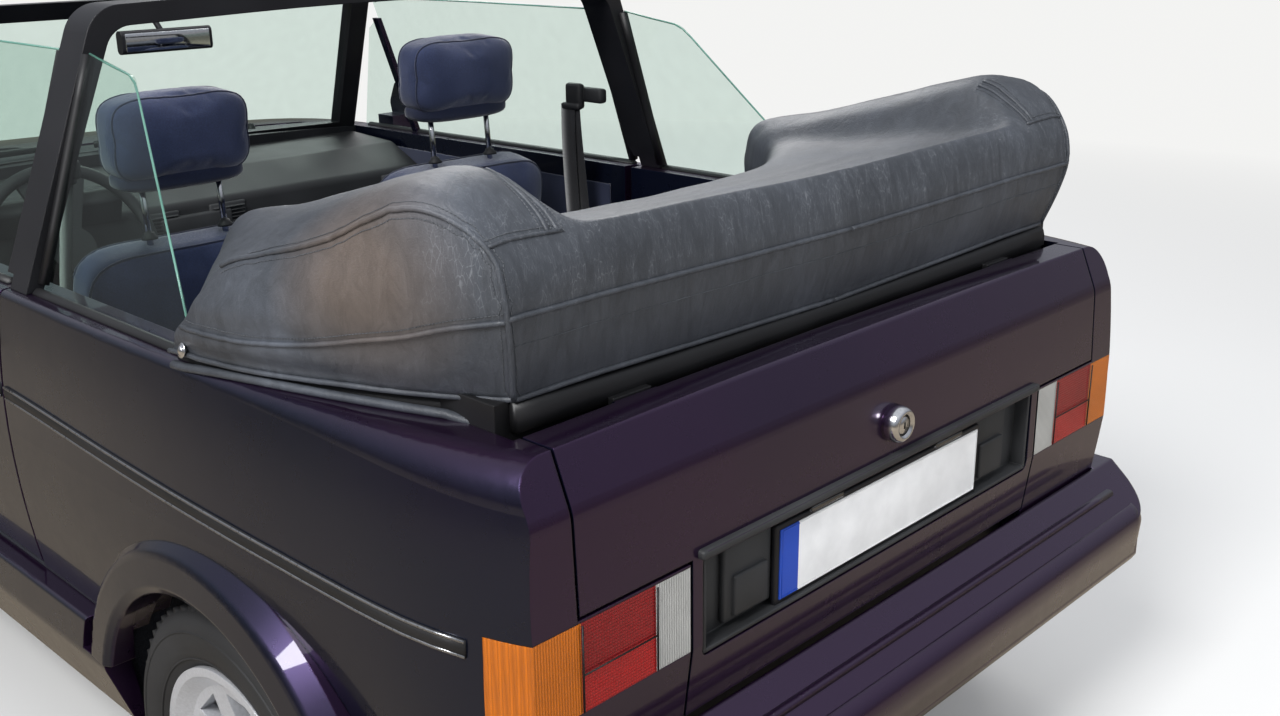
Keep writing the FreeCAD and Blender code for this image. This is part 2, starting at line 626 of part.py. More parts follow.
def bumper_solid(face, inward, wrap, back):
    """One bumper. Columns of the section: depth from the outermost face, height."""
    top, edge, bottom = num("bumper_top"), num("bumper_edge"), num("bumper_bottom")
    wide, corner = num("bumper_half_width"), num("bumper_corner")
    section = [(0, edge - 8, 10), (3, bottom + 40, 14), (30, bottom, 20), (wrap, bottom),
               (wrap, top - 6), (92, top, 8), (20, edge + 8, 18)]
    outline = side_prism([(face + inward * c[0], *c[1:]) for c in section], -FAR / 2, FAR / 2)
    plan = plan_prism([(face, -wide + 26, corner), (face + inward * wrap, -wide),
                       (face + inward * wrap, wide), (face, wide - 26, corner)], 0, 1000)
    wall = num("bumper_wall")
    hollow = plan_prism([(back, -wide + wall, 20), (face + inward * (wrap + 10), -wide + wall),
                         (face + inward * (wrap + 10), wide - wall), (back, wide - wall, 20)],
                        0, top - wall)
    grown = BODY.copy()
    grown.translate(V(-inward * num("bumper_gap"), 0, 0))
    return outline.common(plan).cut(hollow).cut(grown).cut(BODY)


def bumpers():
    """Deep wrap-round bumpers in body colour."""
    rear_face = REAR_AXLE - num("rear_overhang")
    wall = num("bumper_wall")
    rear = bumper_solid(rear_face, 1, -num("bumper_wrap_rear") - rear_face, rear_face + wall)
    lid_way = end_prism(lid_outline(GAP), rear_face + 20, rear_face + 400)
    rear = rear.cut(lid_way.common(box(-FAR, FAR, -FAR, FAR, num("lid_bottom") - 6, FAR)))
    keep("rear_bumper", largest(rear))
    front_face = FRONT_AXLE + num("front_overhang")
    front = bumper_solid(front_face, -1, front_face - num("bumper_wrap_front"), front_face - wall)
    keep("front_bumper", largest(front))


def largest(shape):
    """The biggest solid of a shape, without slivers that a cut has left."""
    return max(shape.Solids, key=lambda s: s.Volume)


def arch_flares():
    """Body-coloured flares round the four wheel openings."""
    reach, lip = num("flare_reach"), num("flare_lip")
    flares = []
    for x, radius in ARCHES:
        inner, outer = radius - 2, num("flare_radius")
        # profile in the (radius, y) plane, turned about the axle
        profile = [(inner, reach - 40, 0), (inner, reach - 8, 6), (inner + lip, reach, 8),
                   (outer - 26, reach - 4, 20), (outer, reach - 34, 0), (outer, reach - 80, 0),
                   (inner, reach - 80, 0)]
        points = [V(x + r, y, AXLE_Z) for r, y, _ in profile]
        face = Part.Face(rounded_wire(points, [c[2] for c in profile]))
        ring = face.revolve(V(x, 0, AXLE_Z), V(0, 1, 0), 360)
        ring = ring.cut(BODY).cut(box(x - 600, x + 600, 0, 1200, -600, num("skirt_ledge") - 60))
        flares.append(largest(ring))
    keep("arch_flares", Part.makeCompound([both_sides(flare) for flare in flares]))


def side_skirts():
    """Sill skirts between the arches, with a stepped ledge on top."""
    reach, ledge, bottom = num("skirt_reach"), num("skirt_ledge"), num("skirt_bottom")
    x0 = REAR_AXLE + num("arch_radius") + 2
    x1 = FRONT_AXLE - num("front_arch_radius") - 2
    section = [(reach - 90, bottom - 4), (reach - 40, bottom, 10), (reach, ledge - 70, 40), (reach - 3, ledge, 8),
               (reach - 90, ledge + 2)]
    skirt = end_prism(section, x0, x1).cut(BODY)
    for x, radius in ARCHES:
        skirt = skirt.cut(cylinder(num("flare_radius") + 1, (x, 0, AXLE_Z), (x, 1000, AXLE_Z)).common(
            box(-FAR, FAR, 0, 1000, num("skirt_ledge") - 60, FAR)))
        skirt = skirt.cut(cylinder(radius + 1, (x, 0, AXLE_Z), (x, 1000, AXLE_Z)))
    keep("side_skirts", both_sides(largest(skirt)))


def floor_pan():
    """Floor with tunnel and sills, stepped up behind the rear seat to the boot floor."""
    thick, low = num("floor_thickness"), num("floor_height")
    tail = REAR_AXLE - num("tail_foot_from_axle") + 38 + SEAT
    inner = num("cabin_half_width")
    tunnel, high = num("tunnel_width") / 2, low + num("tunnel_height")
    # cabin floor with its tunnel, in section
    section = [(-inner, low), (-tunnel, low), (-tunnel + 30, high), (tunnel - 30, high), (tunnel, low), (inner, low),
               (inner, low + thick), (tunnel + 12, low + thick), (tunnel - 16, high + thick),
               (-tunnel + 16, high + thick), (-tunnel - 12, low + thick), (-inner, low + thick)]
    cabin = end_prism(section, KICK, FIREWALL_X - SEAT)
    ledge = box(FIREWALL_X - 2, FIREWALL_X + num("firewall_thickness"), -inner, inner, low, low + thick)
    wide = num("well_inner_rear") - num("liner_wall") - SEAT
    riser = box(KICK - thick, KICK, -inner, inner, low, DECK_UNDER + thick)
    deck = box(tail, KICK, -wide, wide, DECK_UNDER, DECK_UNDER + thick)
    keep("floor_pan", merged(cabin, ledge, riser, deck, SILL, other_side(SILL)))


def sill_solid():
    """The left sill below the door, between the wheel wells."""
    inner = num("cabin_half_width") - 30
    top = SILL_TOP
    sill = BODY.common(box(REAR_AXLE + num("well_radius") + 2, FRONT_AXLE - num("well_radius") - 2, inner, FAR,
                           0, top))
    return sill.fuse(box(REAR_AXLE + num("well_radius") + 30, FRONT_AXLE - num("firewall_from_axle") + 40,
                         inner, inner + 40, num("floor_height"), top - 60))


SILL = sill_solid()


def bulkheads():
    """Firewall with the cowl above it, the rear seat bulkhead and the lower tail panel."""
    inner, low = num("cabin_half_width") - SEAT, num("floor_height") + num("floor_thickness")
    x, bay = FIREWALL_X, num("bonnet_half_width") - 22 - SEAT
    wall = box(x, x + num("firewall_thickness"), -bay, bay, low, num("belt_height") - 40)
    cowl = BODY.common(box(num("screen_base_x") - 46, x + 18, -inner, inner, 880, FAR).fuse(
        box(x, FRONT_AXLE - num("bonnet_rear_from_axle") - GAP, -bay, bay, 880, FAR)))
    under = BODY.copy()
    under.translate(V(0, 0, -28))
    cowl = cowl.cut(under)
    # the wiper well in front of the screen, and the ledges that carry the bonnet's pins
    well_z = BONNET_PIN_Z - 10
    cowl = cowl.cut(box(x + 28, FAR, -FAR, FAR, well_z, FAR))
    ledge = box(BONNET_PIN_X - 14, BONNET_PIN_X - LID_PIN_R - 0.4, 564, 596, well_z - 4, BONNET_PIN_Z)
    bracket = box(x + 30, BONNET_PIN_X - LID_PIN_R - 0.4, 564, 596, well_z - 14, well_z)
    cowl = merged(cowl, ledge, bracket, other_side(ledge), other_side(bracket))
    rear_x = REAR_AXLE - num("bulkhead_from_axle")
    wide = num("boot_half_width") - SEAT
    back = box(rear_x - num("bulkhead_thickness"), rear_x, -wide, wide,
               AXLE_Z + num("well_radius") + 20, TRAY_TOP - num("tray_depth"))
    wide = num("well_inner_rear") - num("liner_wall") - SEAT
    back_low = box(rear_x - num("bulkhead_thickness"), rear_x, -wide, wide,
                   num("boot_floor_height"), TRAY_TOP - num("tray_depth"))
    keep("firewall", merged(wall, cowl))
    keep("rear_bulkhead", merged(back, back_low))


def tail_panel():
    """The panel below the lid, behind the bumper, that closes the boot floor."""
    x = REAR_AXLE - num("tail_foot_from_axle") + 22
    wide = num("lid_lower_half_width") - 2
    panel = box(x, x + 16, -wide, wide, 340, num("lid_bottom") - GAP)
    keep("tail_panel", panel)


def wheel_houses():
    """Inner wheel houses: half-round liners over the four wheels."""
    parts, wall = [], num("liner_wall")
    ends = ((FRONT_AXLE, WELL_FRONT, num("floor_height") + 60),
            (REAR_AXLE, num("well_inner_rear"), AXLE_Z + 40))
    for x, inner, low in ends:
        outer = num("half_width") - 100
        shell = cylinder(num("well_radius") + wall, (x, inner - wall, AXLE_Z), (x, outer, AXLE_Z))
        shell = shell.cut(cylinder(num("well_radius"), (x, inner, AXLE_Z), (x, 1000, AXLE_Z)))
        shell = shell.cut(box(x - 500, x + 500, 0, 1000, -400, low))
        shell = largest(shell.cut(SIDE).cut(SILL))
        if x == FRONT_AXLE:
            shell = merged(shell, along_kingpin(40, KING_TOP + 0.5, KING_TOP + 44))
        parts.append(shell)
    keep("wheel_houses", Part.makeCompound([both_sides(part) for part in parts]))


def along_kingpin(radius, low, high):
    """A cylinder on the left kingpin's axis, between two distances from the hub's height."""
    return Part.makeCylinder(radius, high - low, KING_HUB + KING_AXIS * low, KING_AXIS)


def dashboard():
    """Dashboard with its binnacle, glovebox and vents, and the steering column's shroud."""
    front = num("screen_base_x") - 46 - SEAT
    top = BELT - 23
    section = [(front, top), (300, top - 10, 25), (180, top - 65, 25), (165, 760, 20), (230, 640, 20),
               (330, 620, 15), (front, 700, 15)]
    board = side_prism(section, -690, 690)
    binnacle = side_prism([(330, top - 20), (175, top + 5, 18), (150, top - 20, 12), (170, top - 75)], 190, 490)
    tilt = math.radians(num("wheel_tilt"))
    hub = V(num("wheel_x"), num("seat_spread"), num("wheel_z"))
    along = V(math.sin(tilt), 0, -math.cos(tilt))
    column = Part.makeCylinder(34, 190, hub + along * 30.5, along)
    keep("dashboard", merged(board, binnacle, column))
    base = TUNNEL_TOP + SEAT
    console = side_prism([(330, base), (330, 600, 20), (200, 560, 30), (150, 425, 20), (-260, 412, 12),
                          (-280, base)], -95, 95)
    lever = cylinder(7, (40, 0, 410), (20, 0, 560)).fuse(Part.makeSphere(24, V(18, 0, 570)))
    keep("console", merged(console, lever))


def steering_wheel():
    """Four-spoke steering wheel on its column's axis."""
    tilt = math.radians(num("wheel_tilt"))
    hub = V(num("wheel_x"), num("seat_spread"), num("wheel_z"))
    axis = V(-math.sin(tilt), 0, math.cos(tilt))
    rim = Part.makeTorus(num("wheel_rim_radius"), num("wheel_rim_tube"))
    boss = Part.makeCylinder(52, 40, V(0, 0, -30))
    spokes = [Part.makeBox(2 * num("wheel_rim_radius") - 8, 34, 12, V(-num("wheel_rim_radius") + 4, -17, -12))]
    spokes[0].rotate(V(0, 0, 0), V(0, 0, 1), 20)
    second = spokes[0].copy()
    second.rotate(V(0, 0, 0), V(0, 0, 1), 140)
    wheel = merged(rim, boss, spokes[0], second)
    wheel.Placement = FreeCAD.Placement(hub, FreeCAD.Rotation(V(0, 0, 1), axis))
    keep("steering_wheel", wheel)


def seat_solid(width, front, hip, floor, cushion, top, thick, lean):
    """A seat in side view: cushion and backrest as one closed form."""
    outline = [(front, floor), (front, cushion - 30, 30), (hip + 120, cushion - 20, 60), (hip, cushion - 20, 40),
               (hip - lean, top, 40), (hip - lean - thick, top - 10, 35), (hip - thick - 10, floor, 20)]
    return side_prism(outline, -width / 2, width / 2)


def headrest(middle, backrest_top, chair):
    """A headrest on its two posts above one seat's backrest."""
    x, top, thick = num("headrest_x"), backrest_top + num("headrest_rise"), num("headrest_thickness")
    wide, high = num("headrest_width") / 2, num("headrest_height")
    pad = side_prism([(x - thick / 2, top - high, 34), (x + thick / 2, top - high, 34),
                      (x + thick / 2 - 12, top, 34), (x - thick / 2 + 8, top, 34)], middle - wide, middle + wide)
    posts = [cylinder(num("headrest_post"), (x - 3, middle + s, backrest_top - 30),
                      (x - 3, middle + s, top - high + 20)).cut(chair) for s in (-80, 80)]
    return merged(pad, *posts)


def seats():
    """Front seats with headrests, each set to its own height, and the rear bench."""
    chairs, rests = [], []
    floor_top = num("floor_height") + num("floor_thickness")
    for middle, backrest_top in ((num("seat_spread"), num("backrest_left")),
                                 (-num("seat_spread"), num("backrest_right"))):
        chair = seat_solid(num("seat_width"), num("seat_front_x"), num("seat_hip_x") + 40, 290,
                           num("cushion_height"), backrest_top, num("backrest_thickness"), 120)
        chair.translate(V(0, middle, 0))
        rails = [box(-330, 20, middle + s - 15, middle + s + 15, floor_top, 290.5) for s in (-165, 165)]
        chair = merged(chair, *rails)
        chairs.append(chair)
        rests.append(headrest(middle, backrest_top, chair))
    keep("front_seats", Part.makeCompound(chairs))
    keep("headrests", Part.makeCompound(rests))
    front, deck = num("rear_seat_front_x"), num("boot_floor_height") + 0.3
    low, kick = num("floor_height") + num("floor_thickness") + SEAT, KICK + SEAT
    outline = [(front, low), (front, 462, 30), (front - 340, 448, 60), (front - 420, 900, 40),
               (front - 500, 900, 30), (front - 440, deck), (kick, deck), (kick, low)]
    bench = side_prism(outline, -num("rear_seat_width") / 2, num("rear_seat_width") / 2)
    wide = num("tunnel_width") / 2 + 16
    keep("rear_seat", bench.cut(box(kick - 1, front + 1, -wide, wide, 0, TUNNEL_TOP + SEAT)))


def cover_section(y, hem, corners):
    """One cross-section of the covered top stack, in the plane at y: its corners above a level hem."""
    front, rear = corners[0], corners[-1]
    points = [V(front[0], y, hem)] + [V(x, y, BELT + z) for x, z in corners] + [V(rear[0] + 20, y, hem)]
    return Part.makePolygon(points + [points[0]])


def top_cover():
    """The folded soft top under its fitted cover: low in the middle, humped at both ends."""
    wide, rear = num("cover_half_width"), num("cover_rear_x")
    seat, hump, middle = TRAY_TOP + SEAT, num("cover_hump_rise"), num("cover_middle_rise")
    low = BELT + 16
    # columns: half width, hem height, then the outline from the front foot over the top to the rear bulge,
    # as distances along the car and heights above the belt
    rows = [
        (0, seat, [(-1290, 102), (-1342, 126), (-1577, 173), (rear + 57, middle - 17), (rear + 20, middle),
                   (rear, 140)]),
        (wide - 438, seat, [(-1270, 110), (-1342, 136), (-1577, 184), (rear + 57, middle - 12),
                            (rear + 20, middle), (rear, 142)]),
        (wide - 240, seat, [(-1160, 120), (-1230, 164), (-1577, 252), (rear + 90, hump - 20),
                            (rear + 20, middle + 8), (rear, 144)]),
        (wide - 158, seat, [(-1086, 122), (-1130, 162), (-1560, 274), (rear + 90, hump),
                            (rear + 20, middle + 12), (rear, 146)]),
        (wide - 112, seat, [(-1100, 110), (-1160, 140), (-1560, 252), (rear + 88, hump - 22),
                            (rear + 28, middle + 6), (rear + 8, 144)]),
        (wide - 76, low, [(-1130, 92), (-1200, 127), (-1540, 224), (rear + 92, hump - 46),
                          (rear + 48, middle - 22), (rear + 26, 138)]),
        (wide - 34, low, [(-1186, 62), (-1250, 112), (-1540, 202), (rear + 130, hump - 82),
                          (rear + 90, 172), (rear + 76, 112)]),
        (wide, low, [(-1230, 37), (-1290, 92), (-1480, 158), (rear + 250, 156), (rear + 226, 132),
                     (rear + 216, 82)]),
    ]
    wires = [cover_section(-y, hem, corners) for y, hem, corners in reversed(rows[1:])]
    wires += [cover_section(y, hem, corners) for y, hem, corners in rows]
    stack = tray_space(num("tray_wall") + SEAT, top=seat + 1)
    keep("top_cover", merged(Part.makeLoft(wires, True, True).cut(raised_body(1)), stack))


def hood_tray():
    """The black tray that carries the folded top between the quarter panels."""
    ledge = box(LID_PIN_X + LID_PIN_R + 0.4, num("tray_rear_x") + 2, 416, 484, LID_PIN_Z - 6, LID_PIN_Z + 6)
    tray = tray_space(0, TRAY_TOP).cut(tray_space(num("tray_wall"), FAR))
    keep("hood_tray", merged(tray, ledge, other_side(ledge)))


def tray_space(inset, top):
    """The tray's block between the quarter panels, drawn in by a wall and up to a height."""
    x0, x1, wide = num("tray_rear_x"), num("tray_front_x"), num("boot_half_width") - SEAT
    return box(x0 + inset, x1 - inset, inset - wide, wide - inset, TRAY_TOP - num("tray_depth") + inset, top)


def tyre(label, x, y):
    """A tyre as a turned body with rounded shoulders."""
    radius, half = size("tyre_radius"), size("tyre_width") / 2
    bead, seat = size("rim_radius") - 10 + size("seat_clearance"), size("rim_width") / 2 - 9 - size("seat_clearance")
    body = doc.addObject("PartDesign::Body", label)
    body.Label = label
    sketch = section_sketch(body, label, [
        (bead, -seat), (size("rim_radius") + 2, -seat), (radius - 46, -half), (radius - 12, half * -0.86),
        (radius, half * -0.66), (radius, half * 0.66), (radius - 12, half * 0.86), (radius - 46, half),
        (size("rim_radius") + 2, seat), (bead, seat)])
    revolve(body, sketch)
    body.Placement = FreeCAD.Placement(V(x, y, AXLE_Z), FreeCAD.Rotation(V(1, 0, 0), -90))
    shapes[label] = body


def section_sketch(body, label, corners):
    """A closed sketch on the body's XZ plane whose corners are bound to the sheet."""
    sketch = body.newObject("Sketcher::SketchObject", label + "_section")
    plane = next(f for f in body.Origin.OriginFeatures if f.Role == "XZ_Plane")
    sketch.AttachmentSupport = [(plane, "")]
    sketch.MapMode = "FlatFace"
    points = [V(float(a), float(b), 0) for a, b in corners]
    count = len(points)
    for i in range(count):
        sketch.addGeometry(Part.LineSegment(points[i], points[(i + 1) % count]))
    for i in range(count):
        sketch.addConstraint(sketcher_constraint("Coincident", i, 2, (i + 1) % count, 1))
    for i, (a, b) in enumerate(corners):
        for kind, value in (("DistanceX", a), ("DistanceY", b)):
            index = sketch.addConstraint(sketcher_constraint(kind, i, 1, float(value)))
            sketch.setExpression(f"Constraints[{index}]", text_of(value))
    return sketch


def sketcher_constraint(*arguments):
    """A sketcher constraint; a distance runs from the sketch's origin."""
    if arguments[0] == "Coincident":
        return Sketcher.Constraint(*arguments)
    kind, geometry, point, value = arguments
    return Sketcher.Constraint(kind, -1, 1, geometry, point, value)


def revolve(body, sketch):
    """A full turn of a sketch about its upright axis, which is the wheel's own axis."""
    turned = body.newObject("PartDesign::Revolution", sketch.Name + "_turn")
    turned.Profile = sketch
    turned.ReferenceAxis = (sketch, ["V_Axis"])
    turned.Angle = 360
    doc.recompute()
    return turned


def rim(label, x, y, sign):
    """An alloy wheel: turned barrel and dished face, with a ring of windows cut by a polar pattern."""
    radius, half, bore = size("rim_radius"), size("rim_width") / 2, size("hub_bore")
    body = doc.addObject("PartDesign::Body", label)
    body.Label = label
    well_r, seat_r = radius - 30, radius - 10
    # corners run over the barrel from the outer flange to the inner one, back inside it, and over the face
    sketch = section_sketch(body, label, [
        (radius, half), (radius, half - 9), (seat_r, half - 9), (seat_r, half - 30), (well_r, half - 52),
        (well_r, 60 - half), (seat_r, 30 - half), (seat_r, 9 - half), (radius, 9 - half), (radius, -half),
        (seat_r - 8, -half), (seat_r - 8, 28 - half), (well_r - 9, 58 - half), (well_r - 9, half - 44),
        (bore + 42, half - 52), (bore + 40, half - 76), (bore, half - 76), (bore, half - 30),
        (bore + 34, half - 28), (well_r - 6, half - 20), (seat_r - 4, half)])
    revolve(body, sketch)
    windows = body.newObject("Sketcher::SketchObject", label + "_window")
    plane = next(f for f in body.Origin.OriginFeatures if f.Role == "XY_Plane")
    windows.AttachmentSupport = [(plane, "")]
    windows.MapMode = "FlatFace"
    inner_r, outer_r = num("hub_bore") + 50, num("rim_radius") - 48
    spread = math.pi / num("rim_windows")
    corners = [V(inner_r * math.cos(-spread * 0.22), inner_r * math.sin(-spread * 0.22), 0),
               V(outer_r * math.cos(-spread * 0.62), outer_r * math.sin(-spread * 0.62), 0),
               V(outer_r * math.cos(spread * 0.62), outer_r * math.sin(spread * 0.62), 0),
               V(inner_r * math.cos(spread * 0.22), inner_r * math.sin(spread * 0.22), 0)]
    for i in range(4):
        windows.addGeometry(Part.LineSegment(corners[i], corners[(i + 1) % 4]))
    for i in range(4):
        windows.addConstraint(sketcher_constraint("Coincident", i, 2, (i + 1) % 4, 1))
    pocket = body.newObject("PartDesign::Pocket", label + "_cut")
    pocket.Profile = windows
    pocket.Type = 1
    pocket.Midplane = True
    doc.recompute()
    pattern = body.newObject("PartDesign::PolarPattern", label + "_ring")
    pattern.Originals = [pocket]
    pattern.Axis = (next(f for f in body.Origin.OriginFeatures if f.Role == "Z_Axis"), [""])
    pattern.Angle = 360
    pattern.setExpression("Occurrences", "Dims.rim_windows")
    pattern.Occurrences = int(num("rim_windows"))
    body.Tip = pattern
    doc.recompute()
    body.Placement = FreeCAD.Placement(V(x, y, AXLE_Z), FreeCAD.Rotation(V(1, 0, 0), -90 * sign))
    shapes[label] = body


def wheels():
    """Four wheels, each a tyre and a rim."""
    for end, x, track in (("front", FRONT_AXLE, num("front_track")), ("rear", REAR_AXLE, num("rear_track"))):
        for hand, sign in (("left", 1), ("right", -1)):
            y = sign * track / 2
            tyre(f"tyre_{end}_{hand}", x, y)
            rim(f"rim_{end}_{hand}", x, y, sign)


def knuckles():
    """Front uprights: stub axle, brake disc and the strut above, turning about the leaning kingpin."""
    pin_y = KING_HUB.y
    stub_r = num("hub_bore") - num("hub_clearance")
    face = num("front_track") / 2 + num("rim_width") / 2 - 32
    disc_y = num("front_track") / 2 - 18
    stub = cylinder(stub_r, (FRONT_AXLE, pin_y - 10, AXLE_Z), (FRONT_AXLE, face, AXLE_Z))
    disc = cylinder(120, (FRONT_AXLE, disc_y, AXLE_Z), (FRONT_AXLE, disc_y + 14, AXLE_Z))
    upright = along_kingpin(28, -KING_FOOT, 70)
    strut = along_kingpin(num("strut_radius"), 60, KING_TOP)
    knuckle = merged(stub, disc, upright, strut)
    keep("knuckle_left", knuckle)
    keep("knuckle_right", other_side(knuckle))


def engine_width():
    """The engine's width, which leaves a clearance to the inner walls of the wheel wells."""
    return (size("front_track") / 2 - size("well_depth_front") - size("liner_wall") - size("engine_clearance")) * 2


def suspension():
    """Front cross-member with lower arms, and the rear beam axle with trailing arms and stubs."""
    z, x = AXLE_Z - 75, FRONT_AXLE
    engine_half = float(engine_width()) / 2
    end = engine_half - 20
    member = box(x - 110, x - 20, -end, end, z, z + 65)
    plate_y = WELL_FRONT - num("liner_wall") - SEAT
    plate = box(x - 110, x - 20, end - 10, plate_y, z, z + 60).fuse(
        box(x - 110, x - 20, engine_half + 12, plate_y, z, z + 130))
    boss = along_kingpin(22, -KING_FOOT - 24, -KING_FOOT - 0.5)
    arm_z, arm_end = z - 30, (KING_HUB - KING_AXIS * 95).y
    arm = plan_prism([(x - 100, end - 8), (x - 30, end - 8), (x + 22, arm_end - 20, 12), (x + 22, arm_end + 12, 12),
                      (x - 22, arm_end + 12, 12), (x - 22, arm_end - 60, 12)], arm_z, arm_z + 14)
    link = box(x - 100, x - 30, end - 30, end, arm_z, z + 10)
    left = merged(arm, link, plate, boss)
    keep("front_crossmember", merged(member, left, other_side(left)))
    bx = REAR_AXLE + num("beam_ahead")
    beam = cylinder(num("beam_radius"), (bx, -560, AXLE_Z), (bx, 560, AXLE_Z))
    half_track = num("rear_track") / 2
    stub = cylinder(num("hub_bore") - num("hub_clearance"), (REAR_AXLE, 500, AXLE_Z),
                    (REAR_AXLE, half_track + num("rim_width") / 2 - 32, AXLE_Z))
    drum = cylinder(105, (REAR_AXLE, half_track - 62, AXLE_Z), (REAR_AXLE, half_track - 8, AXLE_Z))
    arm_end = KICK - num("floor_thickness") - SEAT
    trail = box(REAR_AXLE - 40, arm_end, 500, 555, AXLE_Z - 25, AXLE_Z + 25)
    damper = cylinder(24, (REAR_AXLE - 40, 528, AXLE_Z), (REAR_AXLE - 40, 528, DECK_UNDER - SEAT))
    left = merged(stub, drum, trail, damper)
    keep("rear_axle", merged(beam, left, other_side(left)))


def underside():
    """Engine, fuel tank and exhaust."""
    length, width, height = size("engine_length"), engine_width(), size("engine_height")
    engine = doc.addObject("Part::Box", "engine_block")
    engine.Label = "engine_block"
    for name, value in (("Length", length), ("Width", width), ("Height", height)):
        engine.setExpression(name, text_of(value))
    engine.setExpression("Placement.Base.x", text_of(
        (size("front_overhang") + size("wheelbase") + size("rear_overhang")) / 2 - size("front_overhang")
        - length / 2 + 150))
    engine.setExpression("Placement.Base.y", text_of(width / -2))
    engine.setExpression("Placement.Base.z", text_of(size("tyre_radius") - 10 + size("seat_clearance")))
    shapes["engine_block"] = engine
    tank = doc.addObject("Part::Box", "fuel_tank")
    tank.Label = "fuel_tank"
    for name, value in (("Length", size("tank_length")), ("Width", size("tank_width")),
                        ("Height", size("tank_height"))):
        tank.setExpression(name, text_of(value))
    tank.Placement.Base = V(REAR_AXLE - 50, -num("tank_width") / 2, DECK_UNDER - SEAT - num("tank_height"))
    shapes["fuel_tank"] = tank
    exhaust_run()


def exhaust_run():
    """Exhaust from the engine to the tail pipe, with a hanger at each end."""
    r, low = num("pipe_radius"), num("floor_height") - num("pipe_radius") - 8
    muffler_x, muffler_z = REAR_AXLE - num("tail_foot_from_axle") + 130, 285
    engine_x = FRONT_AXLE - num("engine_length") + 150
    # corners of the pipe's centre line
    line = [(engine_x - SEAT, 60, 345), (engine_x - 60, 60, 345), (engine_x - 60, 60, low),
            (REAR_AXLE + 480, 60, low), (REAR_AXLE + 420, 250, low), (REAR_AXLE - 100, 250, low),
            (muffler_x + 60, 250, muffler_z - 20)]
    parts = [cylinder(r, a, b) for a, b in zip(line, line[1:])]
    parts += [Part.makeSphere(r, V(*point)) for point in line[1:-1]]
    parts.append(cylinder(num("silencer_radius"), (muffler_x, -100, muffler_z), (muffler_x, 400, muffler_z)))
    parts.append(cylinder(r, (muffler_x - 40, 330, 262), (REAR_AXLE - num("rear_overhang") + 60, 330, 250)))
    parts.append(box(muffler_x - 15, muffler_x + 15, 120, 150, muffler_z + 40, DECK_UNDER - SEAT))
    parts.append(box(0, 30, 50, 70, low + 10, num("floor_height") + 30))
    pipe = merged(*parts)
    keep("exhaust", pipe.cut(box(-20, 50, 0, 100, num("floor_height") - SEAT, 400)))


def mirrors():
    """Door mirrors on their short arms."""
    x, z = DOOR_FRONT - 130, num("belt_height") + 55
    arm = box(x - 40, x + 30, num("side_glass_base_y") + 8, num("half_width") + 22, z - 72, z - 30)
    arm = arm.cut(BODY)
    shell = side_prism([(x - 55, z - 55, 20), (x + 30, z - 55, 20), (x + 45, z, 30), (x + 15, z + 62, 25),
                        (x - 55, z + 62, 15)], num("half_width") + 2, num("half_width") + 165)
    hollow = side_prism([(x - 80, z - 44, 10), (x - 38, z - 44, 10), (x - 38, z + 50, 10), (x - 80, z + 50, 10)],
                        num("half_width") + 14, num("half_width") + 153)
    mirror = merged(arm, shell).cut(hollow)
    keep("mirror_left", mirror)
    keep("mirror_right", other_side(mirror))


def rear_fittings():
    """The towing eye under the rear bumper and the fuel cap on the right quarter."""
    eye_x = REAR_AXLE - num("tail_foot_from_axle") - 12
    ring = Part.makeTorus(26, 6, V(0, 0, 0), V(0, 1, 0))
    hole = cylinder(20, (0, -12, 0), (0, 12, 0))
    ring = cylinder(32, (0, -7, 0), (0, 7, 0)).cut(hole)
    stem = box(20, 60, -7, 7, -12, 12)
    eye = merged(ring, stem.cut(hole))
    eye.translate(V(eye_x, -420, 290))
    lug = box(eye_x + 55, REAR_AXLE - num("tail_foot_from_axle") + 90, -450, -390, 270, DECK_UNDER - SEAT)
    keep("tow_eye", merged(eye, lug))


quarter_panels()
boot_lid()
tail_lamps()
doors()
side_glass()
windscreen()
roll_bar()
front_wings()
bonnet()
nose()
bumpers()
arch_flares()
side_skirts()
floor_pan()
bulkheads()
tail_panel()
wheel_houses()
dashboard()
steering_wheel()
seats()
top_cover()
hood_tray()
wheels()
knuckles()
suspension()
underside()
mirrors()
rear_fittings()

doc.recompute()
os.makedirs("parts", exist_ok=True)
faults = []
for item in doc.Objects:
    if any(state in ("Invalid", "Error") for state in item.State):
        faults.append(f"{item.Label}: {item.State}")
for label, item in shapes.items():
    if item.Shape.isNull() or not item.Shape.isValid() or not item.Shape.Solids:
        faults.append(f"{label}: bad shape")
if faults:
    raise SystemExit("; ".join(faults))
for label, item in shapes.items():
    item.Shape.exportStep(os.path.join("parts", label + ".step"))
print(len(shapes), "nodes")
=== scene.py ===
"""Convertible car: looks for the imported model, in metres, in the car's own frame (+X forward, +Y left)."""
import json
import math

import bmesh
import bpy
from mathutils import Matrix, Vector, noise
from mathutils.bvhtree import BVHTree


